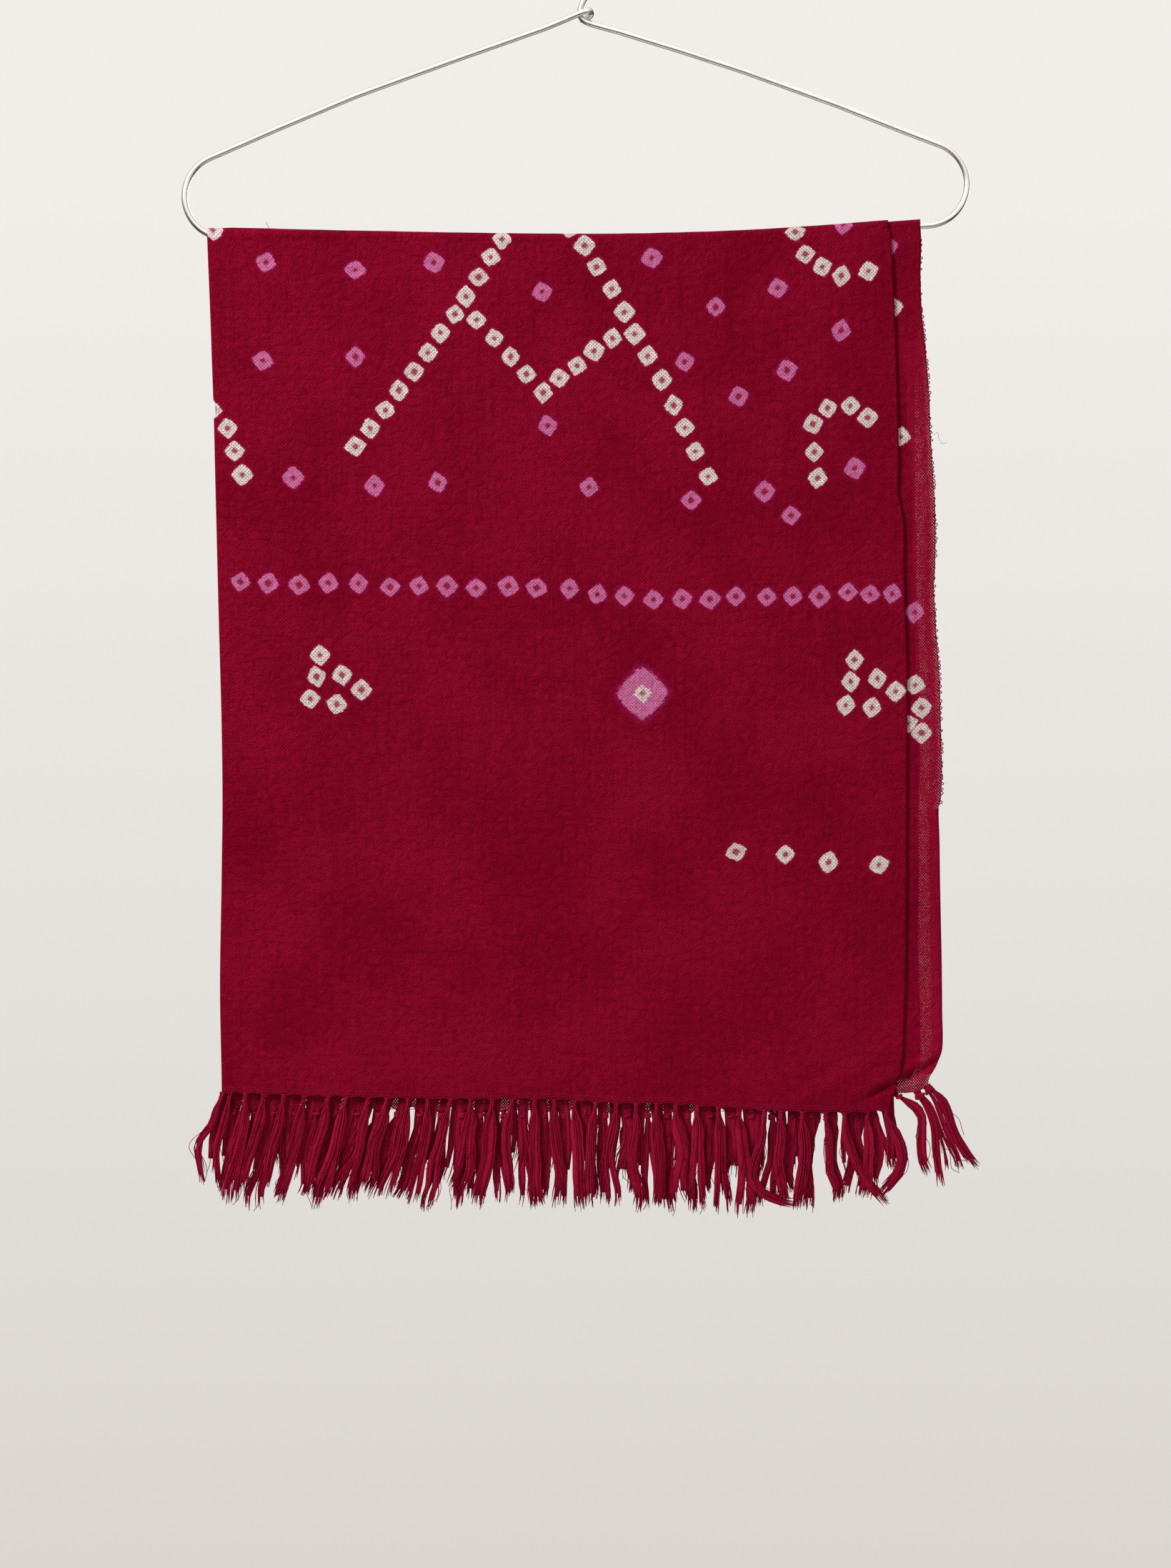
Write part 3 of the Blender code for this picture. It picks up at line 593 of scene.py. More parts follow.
tie_row(front_dots, (-186.2, 98.7), (-178.7, 122.7), 3, loose=0.4)
tie(front_dots, -193.6, -2.7, loose=0.2)
tie_row(front_dots, (-179.6, 177.8), (-25.7, 180.0), 11, PINK, sag=0.8, loose=0.9)
tie_row(front_dots, (-8.5, 181.0), (77.8, 187.0), 7, PINK, sag=2.2, loose=0.7)
tie_row(front_dots, (93.0, 187.3), (120.6, 189.0), 3, PINK, loose=0.4)
tie_row(front_dots, (135.4, 187.6), (158.4, 189.9), 3, PINK, sag=1.0, loose=0.3)
tie_cluster(front_dots, -138.0, 227.5)
tie_cluster(front_dots, 139.0, 234.5)
tie(front_dots, 28.9, 235.2, LARGE, 0.0)
tie_row(front_dots, (77.5, 318.0), (150.5, 330.0), 4, loose=1.2)

# %% Single pink dots, listed one by one
FRONT_SINGLES = ((-166, 13), (-120, 16), (-79, 12), (-23, 27), (-168, 64), (-120, 61), (-152, 124),
                 (-110, 128), (-77, 126), (-20, 96), (1, 128), (34, 10), (67, 36), (99, 28), (132, 52),
                 (51, 64), (104, 71), (79, 83), (139, 124), (92, 133), (54, 136), (106, 146), (133, -3))
BACK_SINGLES = ((-170, 24), (-128, 40), (-84, 22), (-34, 44), (36, 12), (62, 50), (112, 30), (148, 58),
                (-150, 90), (-60, 84), (-8, 92), (90, 96), (138, 104), (-110, 130), (30, 134), (120, 142))
for spot in FRONT_SINGLES:
    tie(front_dots, *spot, PINK, 0.3)
for spot in BACK_SINGLES:
    tie(back_dots, *spot, PINK, 0.8)

# %% Dots that the front doesn't show
tie_row(back_dots, (-186.0, 182.0), (156.0, 188.0), 25, PINK, sag=3.0)
tie_row(back_dots, (-40.0, 12.0), (-132.0, 120.0), 12)
tie_row(back_dots, (8.0, 8.0), (84.0, 128.0), 12)
tie_cluster(back_dots, -120.0, 232.0)
tie_cluster(back_dots, 104.0, 240.0)
tie(back_dots, -6.0, 246.0, LARGE, 0.0)
tie_row(back_dots, (-150.0, 322.0), (-70.0, 330.0), 4)
UNDER_WHITE = ((158.6, 41.6), (162.8, 109.0), (170.2, 238.0), (173.5, 250.2), (173.5, 263.2),
               (166.4, 257.9))
for spot in UNDER_WHITE:
    tie(under_dots, *spot, WHITE, 0.2)
for spot in ((155.6, 10.2), (170.2, 200.3)):
    tie(under_dots, *spot, PINK, 0.2)
print("dots tied:", len(front_dots), "in front,", len(back_dots), "behind,", len(under_dots), "under")

# %% Keep the nearest dots on every face
# where the back begins on the flat cloth: half a turn round the bar past the front
BACK_START = math.pi * OUTER.over
# a place far outside any dot, of kind 0
NO_DOT = (9.0, 9.0, 0.0)
# how far a dot's rim reaches, in half diagonals
REACH = 1.35


def mark_dots(made, corners, flat, dots):
    """Write two corner attributes: each face's nearest and second nearest dot, in that dot's own units."""
    places = flat.reshape(-1, 2)[corners]
    middles = places.mean(axis=1)
    spots = np.array([(dot.x, dot.s) for dot in dots])
    sizes = np.array([HALF_DIAGONAL[dot.kind] for dot in dots])
    span = np.linalg.norm(places.max(axis=1) - places.min(axis=1), axis=1)
    away = np.linalg.norm(middles[:, None, :] - spots[None, :, :], axis=2)
    order = np.argsort(away / sizes[None, :], axis=1)
    for slot, name in enumerate(("dot_near", "dot_next")):
        values = np.tile(NO_DOT, (len(corners), 4, 1))
        chosen = order[:, slot]
        in_reach = away[np.arange(len(corners)), chosen] < REACH * sizes[chosen] + span
        for face in np.nonzero(in_reach)[0]:
            dot = dots[chosen[face]]
            right, up = (places[face] - (dot.x, dot.s)).T
            c, s = math.cos(dot.tilt), math.sin(dot.tilt)
            size = HALF_DIAGONAL[dot.kind]
            values[face, :, 0] = (right * c + up * s) / (size * dot.wide)
            values[face, :, 1] = (up * c - right * s) / (size * dot.high)
            values[face, :, 2] = dot.kind + 0.8 * dot.seed
        kept = made.data.attributes.new(name, "FLOAT_VECTOR", "CORNER")
        kept.data.foreach_set("vector", values.ravel())


# %% [markdown]
# ### Fine wool twill, dyed crimson
# The cloth is a fine 2/2 twill of worsted wool, dyed in the piece and never pressed flat. Its threads
# are about 0.4 mm apart, so its diagonal rib repeats every 1.2 mm or so, just wide enough to show.
# Wool is matt with a soft bloom of fibre ends, which the shader's sheen gives. Colour varies a little
# from thread to thread and more broadly where the dye bath took unevenly. The ribs carry a painted
# highlight, and where light would shine through a single thickness its colour is painted brighter.

# %% Scale of the weave, in mm
TWILL_RIB = 1.25
# at scale 1 a diagonal wave repeats each time x + y has grown by 2 pi / 10
WAVE_TURN = 0.6283
HOLE_SPACING = 1.3
# noise by its turns per millimetre across and down the cloth
Grain = namedtuple("Grain", "across down detail roughness distortion")
GRAINS = {
    "fleck": Grain(1.1, 1.1, 3.0, 0.7, 0.0),       # single threads, drawn at twice their 0.4 mm to show
    "crepe": Grain(0.24, 0.24, 6.0, 0.62, 0.8),    # the crinkle of unpressed wool
    "ripples": Grain(0.055, 0.33, 4.0, 0.5, 0.0),  # wefts beaten in unevenly
    "streaks": Grain(0.42, 0.014, 4.0, 0.5, 0.0),  # warps that took the dye differently
    "bath": Grain(0.018, 0.018, 5.0, 0.5, 0.0),    # where the dye bath stood thicker or thinner
}
# the third is a lit crimson for painted light: a painted highlight on the twill ribs, and a painted glow
# where light would shine through a single thickness
CRIMSON, DEEP, LIT_CRIMSON = "#910A28", "#660019", "#B81840"
CREAM, WARM_CREAM, MAUVE, MAGENTA = "#EADED6", "#D8C0A2", "#D072A2", "#A01556"
TIP_MAGENTA = "#9C1048"
WOOL_GLINT, WOOL_BLOOM = "#7A0A22", "#9A1030"


# %% A dot's shape and kind
# 1 would be a straight-sided diamond and 2 a round spot; a tied dot is a diamond with swollen sides
SQUARENESS = 1.28
# how far the border of a dot wavers, in half diagonals
WAVER = 0.44


def dot_measures(tree, name, uneven):
    """From a dot's own coordinates: how far out a place is, the dot's kind and its lot."""
    local = add(tree, "ShaderNodeAttribute", attribute_name=name)
    nudge = add(tree, "ShaderNodeVectorMath", {0: uneven.outputs[1], 1: (0.5, 0.5, 0.5)},
                operation="SUBTRACT")
    moved = add(tree, "ShaderNodeVectorMath", {0: nudge, 1: (WAVER, WAVER, 0.0), 2: local.outputs["Vector"]},
                operation="MULTIPLY_ADD")
    parts = add(tree, "ShaderNodeSeparateXYZ", {0: moved})
    raised = []
    for axis in ("X", "Y"):
        size = add(tree, "ShaderNodeMath", {0: parts.outputs[axis]}, operation="ABSOLUTE")
        raised.append(add(tree, "ShaderNodeMath", {0: size, 1: SQUARENESS}, operation="POWER"))
    total = add(tree, "ShaderNodeMath", {0: raised[0], 1: raised[1]}, operation="ADD")
    radius = add(tree, "ShaderNodeMath", {0: total, 1: 1 / SQUARENESS}, operation="POWER")
    kind = add(tree, "ShaderNodeMath", {0: parts.outputs["Z"]}, operation="FLOOR")
    lot = add(tree, "ShaderNodeMath", {0: parts.outputs["Z"]}, operation="FRACT")
    return radius, kind, lot


# %% A dot's paint
def paint_dot(tree, name, place, specks, colour):
    """Mix one dot over a colour: magenta rim, undyed or pink field with specks, and the dyed tip."""
    uneven = add(tree, "ShaderNodeTexNoise", {"Vector": place, "Scale": 0.55, "Detail": 4.0,
                 "Roughness": 0.7})
    radius, kind, lot = dot_measures(tree, name, uneven)
    tied = add(tree, "ShaderNodeMath", {0: kind, 1: 0.5}, operation="GREATER_THAN")
    large = add(tree, "ShaderNodeMath", {0: kind, 1: 2.5}, operation="GREATER_THAN")
    white = add(tree, "ShaderNodeMath", {0: kind, 1: 1.0, 2: 0.2}, operation="COMPARE")
    # the field is white, or pink with a white middle in the large dots; some lots are warmer
    inside = add(tree, "ShaderNodeMath", {0: radius, 1: 0.34}, operation="LESS_THAN")
    middle = add(tree, "ShaderNodeMath", {0: large, 1: inside}, operation="MULTIPLY")
    pale = add(tree, "ShaderNodeMath", {0: white, 1: middle}, operation="MAXIMUM")
    warm = add(tree, "ShaderNodeMapRange", {"Value": lot, "From Min": 0.55, "From Max": 0.8, "To Max": 0.4})
    cream = add(tree, "ShaderNodeMix", {0: warm, 6: linear(CREAM), 7: linear(WARM_CREAM)}, data_type="RGBA")
    field = add(tree, "ShaderNodeMix", {0: pale, 6: linear(MAUVE), 7: cream.outputs[2]}, data_type="RGBA")
    # the tip of the pinch is dyed, with a faint stain round it
    tip_size = add(tree, "ShaderNodeMapRange", {"Value": lot, "From Max": 0.8, "To Min": 0.20,
                   "To Max": 0.34})
    tip_size = add(tree, "ShaderNodeMath", {0: large, 1: -0.14, 2: tip_size}, operation="MULTIPLY_ADD")
    within = add(tree, "ShaderNodeMath", {0: tip_size, 1: radius}, operation="SUBTRACT")
    tip = add(tree, "ShaderNodeMapRange", {"Value": within, "From Min": -0.09, "From Max": 0.06,
              "To Max": 0.85})
    tip_colour = add(tree, "ShaderNodeMix", {0: white, 6: linear(CRIMSON), 7: linear(TIP_MAGENTA)},
                     data_type="RGBA")
    stain = add(tree, "ShaderNodeMapRange", {"Value": within, "From Min": -0.22, "From Max": -0.02,
                "To Max": 0.55})
    stain = add(tree, "ShaderNodeMath", {0: stain, 1: uneven}, operation="MULTIPLY")
    for amount in (specks, stain):
        field = add(tree, "ShaderNodeMix", {0: amount, 6: field.outputs[2], 7: linear(MAGENTA)},
                    data_type="RGBA")
    rim, fill = [add(tree, "ShaderNodeMapRange", {"Value": radius, "From Min": outer, "From Max": inner,
                     "To Max": most}, interpolation_type="SMOOTHSTEP")
                 for outer, inner, most in ((1.30, 0.98, 0.55), (1.04, 0.92, 1.0))]
    for amount, over in ((rim, linear(MAGENTA)), (fill, field.outputs[2]), (tip, tip_colour.outputs[2])):
        amount = add(tree, "ShaderNodeMath", {0: amount, 1: tied}, operation="MULTIPLY")
        colour = add(tree, "ShaderNodeMix", {0: amount, 6: colour, 7: over}, data_type="RGBA").outputs[2]
    return colour


# %% The loosely set band of the selvedge
def band_share(tree, edges, streaks):
    """1 in the loosely set band along the selvedge and 0 past it, with a ragged border."""
    ragged = add(tree, "ShaderNodeMath", {0: streaks, 1: 6.0, 2: edges["X"]}, operation="MULTIPLY_ADD")
    return add(tree, "ShaderNodeMapRange", {"Value": ragged, "From Min": 15.2, "From Max": 13.8})


def hole_share(tree, place, edges, grain, band):
    """How much light comes through between the threads of the band."""
    # the real holes are 0.3 mm wide and 0.4 mm apart; they are drawn 1.3 mm apart to show
    turn = 2 * math.pi / HOLE_SPACING
    step = add(tree, "ShaderNodeVectorMath", {0: place, 1: (turn, 0.8 * turn, 0.0)}, operation="MULTIPLY")
    waves = add(tree, "ShaderNodeVectorMath", {0: step}, operation="SINE")
    waves = add(tree, "ShaderNodeSeparateXYZ", {0: waves}).outputs
    holes = add(tree, "ShaderNodeMath", {0: waves["X"], 1: waves["Y"]}, operation="MULTIPLY")
    for name, weight in (("fleck", 1.2), ("crepe", 0.9)):
        holes = add(tree, "ShaderNodeMath", {0: grain[name], 1: weight, 2: holes}, operation="MULTIPLY_ADD")
    # the weave is looser past the first few threads, at the very edge and over the hem
    for far, start, end, more in ((edges["X"], 4.5, 7.0, 0.14), (edges["X"], 3.2, 1.2, 0.34),
                                  (edges["Y"], 9.0, 6.0, 0.22)):
        wider = add(tree, "ShaderNodeMapRange", {"Value": far, "From Min": start, "From Max": end,
                    "To Max": more})
        holes = add(tree, "ShaderNodeMath", {0: holes, 1: wider}, operation="ADD")
    seen = add(tree, "ShaderNodeMapRange", {"Value": holes, "From Min": 1.92, "From Max": 2.16,
               "To Max": 0.8})
    near_hem = add(tree, "ShaderNodeMapRange", {"Value": edges["Y"], "From Min": 9.0, "From Max": 6.0})
    loose = add(tree, "ShaderNodeMath", {0: band, 1: near_hem}, operation="MAXIMUM")
    for share in (loose, edges["Z"]):
        seen = add(tree, "ShaderNodeMath", {0: seen, 1: share}, operation="MULTIPLY")
    return seen


# %% Wool twill
def twill_patterns(tree, place):
    """The two diagonals of the twill, and the noises of GRAINS by name."""
    diagonals, grain = [], {}
    for lean in (1.0, -1.0):
        turned = add(tree, "ShaderNodeMapping", {"Vector": place, "Scale": (1.0, lean, 1.0)})
        ribs = add(tree, "ShaderNodeTexWave", {
            "Vector": turned, "Scale": WAVE_TURN / (TWILL_RIB * math.sqrt(2)), "Distortion": 1.6,
            "Detail": 2.0, "Detail Scale": 0.7}, bands_direction="DIAGONAL")
        diagonals.append(ribs.outputs[1])
    for name, row in GRAINS.items():
        scaled = add(tree, "ShaderNodeMapping", {"Vector": place, "Scale": (row.across, row.down, 1.0)})
        noisy = add(tree, "ShaderNodeTexNoise", {
            "Vector": scaled, "Scale": 1.0, "Detail": row.detail, "Roughness": row.roughness,
            "Distortion": row.distortion})
        grain[name] = noisy.outputs[0]
    return *diagonals, grain


def wool_twill(name, has_dots, open_band=False, thin=0.0):
    """Fine worsted twill. With open_band the selvedge is loosely set and light shows through it, and the last
    argument is painted light: how much brighter a single thickness is painted, standing in for light shining
    through it."""
    made, tree, shader = new_material(name)
    place = add(tree, "ShaderNodeAttribute", attribute_name="cloth_mm").outputs["Vector"]
    ribs, cross, grain = twill_patterns(tree, place)
    shade = add(tree, "ShaderNodeMapRange", {"Value": grain["fleck"], "From Min": 0.3, "From Max": 0.7})
    # painted highlight: the twill's ribs are painted lighter, partly the weave's pattern and partly the light
    # their raised threads catch
    rib_highlight = add(tree, "ShaderNodeMapRange", {"Value": ribs, "To Max": 0.42})
    cloud = grain["bath"]
    for layer, weight in (("streaks", 0.4), ("crepe", 0.9)):
        cloud = add(tree, "ShaderNodeMath", {0: grain[layer], 1: weight, 2: cloud}, operation="MULTIPLY_ADD")
    cloud = add(tree, "ShaderNodeMapRange", {"Value": cloud, "From Min": 1.0, "From Max": 1.35,
                "To Max": 0.5})
    # painted light: a single thickness is painted brighter, as if lit from behind
    painted_glow = thin
    if open_band:
        edges = add(tree, "ShaderNodeAttribute", attribute_name="edge_mm").outputs["Vector"]
        edges = add(tree, "ShaderNodeSeparateXYZ", {0: edges}).outputs
        band = band_share(tree, edges, grain["streaks"])
        painted_glow = band
        for share in (edges["Z"], thin):
            painted_glow = add(tree, "ShaderNodeMath", {0: painted_glow, 1: share}, operation="MULTIPLY")
        seen = hole_share(tree, place, edges, grain, band)
        solid = add(tree, "ShaderNodeMath", {0: 1.0, 1: seen}, operation="SUBTRACT")
        set_inputs(tree, shader, {"Alpha": solid})
    colour = linear(DEEP)
    for amount, over in ((shade, CRIMSON), (rib_highlight, LIT_CRIMSON), (cloud, DEEP), (painted_glow, LIT_CRIMSON)):
        colour = add(tree, "ShaderNodeMix", {0: amount, 6: colour, 7: linear(over)}, data_type="RGBA")
        colour = colour.outputs[2]
    if has_dots:
        lattice = add(tree, "ShaderNodeMath", {0: ribs, 1: cross}, operation="MULTIPLY")
        lattice = add(tree, "ShaderNodeMath", {0: grain["fleck"], 1: 0.8, 2: lattice},
                      operation="MULTIPLY_ADD")
        specks = add(tree, "ShaderNodeMapRange", {"Value": lattice, "From Min": 0.78, "From Max": 1.15,
                     "To Max": 0.85})
        for slot in ("dot_next", "dot_near"):
            colour = paint_dot(tree, slot, place, specks, colour)

    height = 0.0
    for layer, millimetres in ((grain["crepe"], 3.0), (ribs, 0.18), (cross, 0.08), (grain["fleck"], 0.8),
                               (grain["ripples"], 1.3), (grain["streaks"], 0.25)):
        height = add(tree, "ShaderNodeMath", {0: layer, 1: millimetres, 2: height}, operation="MULTIPLY_ADD")
    bump = add(tree, "ShaderNodeBump", {"Height": height, "Strength": 0.85, "Distance": MM})
    set_inputs(tree, shader, {
        "Base Color": colour, "Normal": bump, "Roughness": 0.85, "IOR": 1.45, "Specular IOR Level": 0.2,
        "Specular Tint": linear(WOOL_GLINT), "Sheen Weight": 0.08, "Sheen Roughness": 0.45,
        "Sheen Tint": linear(WOOL_BLOOM)})
    return made


# %% [markdown]
# ## The outer layer
# This is the cloth that shows: up the front, over the bar, down the back and round the length fold at
# the foot. Its left edge is the width fold, a soft roll. The grid's last columns carry the roll round.

# %% Outer layer's rows
CELL, FINE_CELL, BACK_CELL = 3.0, 1.2, 4.0
FRONT_LENGTH, ACROSS = 450.0, 355.0
FOOT_SHARE, SIDE_SHARE = 0.055, 0.085
TURN_STEPS, ROLL_STEPS = 14, 6
# the knots draw the hem down a little, each at its own place
KNOT_PITCH, FIRST_KNOT, PULL = 10.72, -188.0, 0.7
# height above the middle of the stack where the width fold's roll ends
ROLL_FOOT = 1.5


def outer_rows():
    """Parts of the outer layer, from the front hem to the end of the length fold."""
    fine, steps = FOOT_SHARE * FRONT_LENGTH / FINE_CELL, (1 - FOOT_SHARE) * FRONT_LENGTH / CELL
    foot = np.linspace(1.0, 1 - FOOT_SHARE, round(fine) + 1)
    down = np.concatenate([foot, np.linspace(1 - FOOT_SHARE, 0.0, round(steps) + 1)[1:]])
    back_down = np.linspace(0.0, 1.0, round(FRONT_LENGTH / BACK_CELL) + 1)[1:]
    half_turn = np.linspace(0.0, math.pi, TURN_STEPS + 1)[1:]
    return (("front", down), ("over", half_turn), ("back", back_down), ("fold", half_turn[::2]))


def layer_height(layer, part, drop):
    """Outside of a layer: close round the bar, and at its full height once it hangs free."""
    if part == "over":
        return layer.over
    return blend(layer.over, layer.flat, ease(drop / OVER_FADE))


# %% Outer layer
def outer_part(part, rows, columns):
    """Points of one part with the width fold rolled at its left, and where they lie on the flat cloth."""
    turn = 0.0
    if part == "front":
        x, drop = spread(rows, columns, (LEFT_EDGE, OUTER_EDGE), OUTER_HEM)
        scallop = np.cos(2 * math.pi * (x - FIRST_KNOT) / KNOT_PITCH)
        drop = drop + PULL * scallop * ease((rows[:, None] - 0.994) / 0.006)
        s = -drop
    elif part == "over":
        turn = rows[:, None] + np.zeros((1, len(columns)))
        x, drop = spread(0 * rows, columns, (LEFT_EDGE, OUTER_EDGE), OUTER_HEM)
        s = OUTER.over * turn
    else:
        shares = rows if part == "back" else 0 * rows + 1
        x, drop = spread(shares, columns, (BACK_LEFT, BACK_OUTER), INNER_HEM, -GAP)
        turn = rows[:, None] + 0 * x if part == "fold" else 0.0
        s = BACK_START + drop + (LENGTH_FOLD_R * turn if part == "fold" else 0.0)
    height = layer_height(OUTER, part, drop)
    main_x = x + ROLL_R * ease((np.asarray(columns)[None, :] - 0.9) / 0.1)
    points = [surface(part, main_x, drop, height, turn)]
    flats = [np.stack([main_x, s + 0 * main_x], -1)]
    # the last column goes on round the width fold and a little way back
    side, drop_side, s_side = main_x[:, -1:], drop[:, -1:], s[:, -1:]
    turn_side = turn[:, -1:] if np.ndim(turn) else 0.0
    outside = height[:, -1:] if np.ndim(height) else height
    inside = UNDER.over - 0.9 if part == "over" else ROLL_FOOT
    middle = (outside + inside) / 2
    for k in range(1, ROLL_STEPS + 1):
        angle = math.pi * k / ROLL_STEPS
        reach = middle + (middle - inside) * math.cos(angle)
        points.append(surface(part, side - ROLL_R * math.sin(angle), drop_side, reach, turn_side))
        flats.append(np.stack([side - ROLL_R * angle, s_side + 0 * side], -1))
    points.append(surface(part, side + ROLL_RETURN, drop_side, middle * 0 + inside, turn_side))
    flats.append(np.stack([side - ROLL_R * math.pi - ROLL_RETURN, s_side + 0 * side], -1))
    return np.concatenate(points, 1), np.concatenate(flats, 1)


outer_columns = np.concatenate([
    np.linspace(0.0, SIDE_SHARE, round(SIDE_SHARE * ACROSS / FINE_CELL) + 1),
    np.linspace(SIDE_SHARE, 1.0, round((1 - SIDE_SHARE) * ACROSS / CELL) + 1)[1:]])
outer_grids = [outer_part(part, rows, outer_columns) for part, rows in outer_rows()]
outer_points, outer_flat = [np.concatenate(column) for column in zip(*outer_grids)]
outer_finish = wool_twill("fine wool twill, tie-dyed", True)
outer_cloth, outer_corners = cloth_object("outer_cloth", outer_points, outer_flat, outer_finish)
all_dots = front_dots + [dot._replace(s=BACK_START - dot.s) for dot in back_dots]
mark_dots(outer_cloth, outer_corners, outer_flat, all_dots)
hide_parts("outer_layer")
print("outer cloth:", len(outer_corners), "faces")

# %% [markdown]
# ## The under layer
# It lies just inside the outer one and shows only where its selvedge stands out at the right. There it
# hangs single, so light comes through its loose weave, and its colour is painted a little brighter as
# painted light from behind. Lower down the selvedge is turned under and looks dense again, and that strip
# is painted brighter too. Only the right 40 mm need fine cells, the hidden rest is coarse.

# %% Under layer's edges
RIGHT_FINE, FINE_CELLS, WIDE_CELLS = 0.12, 36, 100
UNDER_PULL = 1.9
under_columns = np.concatenate([np.linspace(0.0, RIGHT_FINE, FINE_CELLS + 1),
                                np.linspace(RIGHT_FINE, 1.0, WIDE_CELLS + 1)[1:]])
UNDER_INSET = ROLL_R + ROLL_RETURN + GAP
# how far the selvedge has loosened, by how far below the bar it is
LOOSE_WEAVE = ((0, 0.0), (45, 0.15), (75, 0.5), (100, 0.9), (150, 1.0), (300, 0.9), (460, 1.0))
UNDER_LEFT, BACK_UNDER_LEFT = [tuple((drop, x + UNDER_INSET) for drop, x in edge)
                               for edge in (LEFT_EDGE, BACK_LEFT)]
# the back has no open hem, so its distance from one is set out of reach
FAR_FROM_HEM = 100.0


def foot_back(x, drop):
    """How far the layer has fallen back where the inner layers end above it."""
    return FOOT_BACK * ease((drop - 437.0) / 10.0) * ease((157.0 - x) / 14.0)


# %% Under layer
def under_part(part, rows):
    """Points of one part, where they lie on the flat cloth, and how far from selvedge and hem."""
    turn = 0.0
    if part == "front":
        x, drop = spread(rows, under_columns, (UNDER_LEFT, UNDER_EDGE), UNDER_HEM)
        scallop = np.cos(2 * math.pi * (x - FIRST_KNOT - KNOT_PITCH / 2) / KNOT_PITCH)
        uneven = (1.0 + 0.5 * np.sin(x / 7.3) * np.sin(x / 17.0)) * ease((158.0 - x) / 10.0)
        drop = drop + UNDER_PULL * uneven * scallop * ease((rows[:, None] - 0.99) / 0.01)
        s = -drop
    elif part == "over":
        turn = rows[:, None] + np.zeros((1, len(under_columns)))
        x, drop = spread(0 * rows, under_columns, (UNDER_LEFT, UNDER_EDGE), UNDER_HEM)
        s = UNDER.over * turn
    else:
        x, drop = spread(rows, under_columns, (BACK_UNDER_LEFT, BACK_UNDER), INNER_HEM)
        s = BACK_START + drop
    height = layer_height(UNDER, part, drop) - (foot_back(x, drop) if part == "front" else 0.0)
    points = surface(part, x, drop, height, turn)
    from_hem = drop[:1, :] - drop if part == "front" else FAR_FROM_HEM + 0 * x
    loose = through(LOOSE_WEAVE, drop) + 0 * x
    return points, np.stack([x, s + 0 * x], -1), np.stack([x[:, :1] - x, from_hem, loose], -1)


under_grids = [under_part(part, rows) for part, rows in outer_rows()[:3]]
under_points, under_flat, under_in = [np.concatenate(column) for column in zip(*under_grids)]
# painted light: the open band is painted a little brighter, as if lit through from behind
under_finish = wool_twill("fine wool twill, open selvedge", True, True, thin=0.34)
under_cloth, under_corners = cloth_object("under_cloth", under_points, under_flat, under_finish, OPEN_WOOL)
mark_dots(under_cloth, under_corners, under_flat, under_dots)
edge_mm = under_cloth.data.attributes.new("edge_mm", "FLOAT_VECTOR", "POINT")
edge_mm.data.foreach_set("vector", under_in.ravel())
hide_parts("under_layer")
print("under cloth:", len(under_corners), "faces")

# %% The turned-under selvedge
TURN_TOP, TURN_END, TURN_ROWS = 303.0, 440.0, 60
# across the strip: how far in from the selvedge, and how high above the middle of the stack
TURN_IN = np.array([[0.0, -0.25, 0.1, 1.2, 2.6, 4.0, 5.2]])
TURN_HEIGHT = np.array([[2.5, 2.3, 2.05, 1.95, 1.9, 1.9, 1.85]])
turn_drop = np.linspace(TURN_TOP, TURN_END, TURN_ROWS)[:, None] + 0 * TURN_IN
turn_x = through(UNDER_EDGE, turn_drop) - TURN_IN - 0.1
turn_points = surface("front", turn_x, turn_drop, TURN_HEIGHT + 0 * turn_drop)
turn_flat = np.stack([turn_x, -turn_drop], -1)
plain_finish = wool_twill("fine wool twill, plain dyed", False)
# painted light: the turned strip is painted brighter all over, as if lit through from behind
backlit_turned_finish = wool_twill("fine wool twill, single thickness, painted backlight", False, thin=1.0)
turned_edge, _ = cloth_object("turned_selvedge", turn_points, turn_flat, backlit_turned_finish, THIN_WOOL)
print("turned selvedge:", len(turned_edge.data.polygons), "faces")

# %% [markdown]
# ## The hidden layers
# The second end of the stole hangs between the two layers, as one folded pair in front and one behind.
# Each is a sheet that goes left, turns round its own width fold and comes back. They show at the right
# through the open selvedge, from below, and at the left between the rolled folds.

# %% Inner layers
PAIR_ROWS, PAIR_COLUMNS, PAIR_TURNS = 76, 60, 7
PAIR_OUTSIDE, PAIR_INSIDE = 1.15, 0.35
# how far the pair in front stands out past the outer layer's selvedge, and how far the other stays in
CORE_STEP, CORE_INSET = 6.5, -1.0
CORE_TOP = 3.1


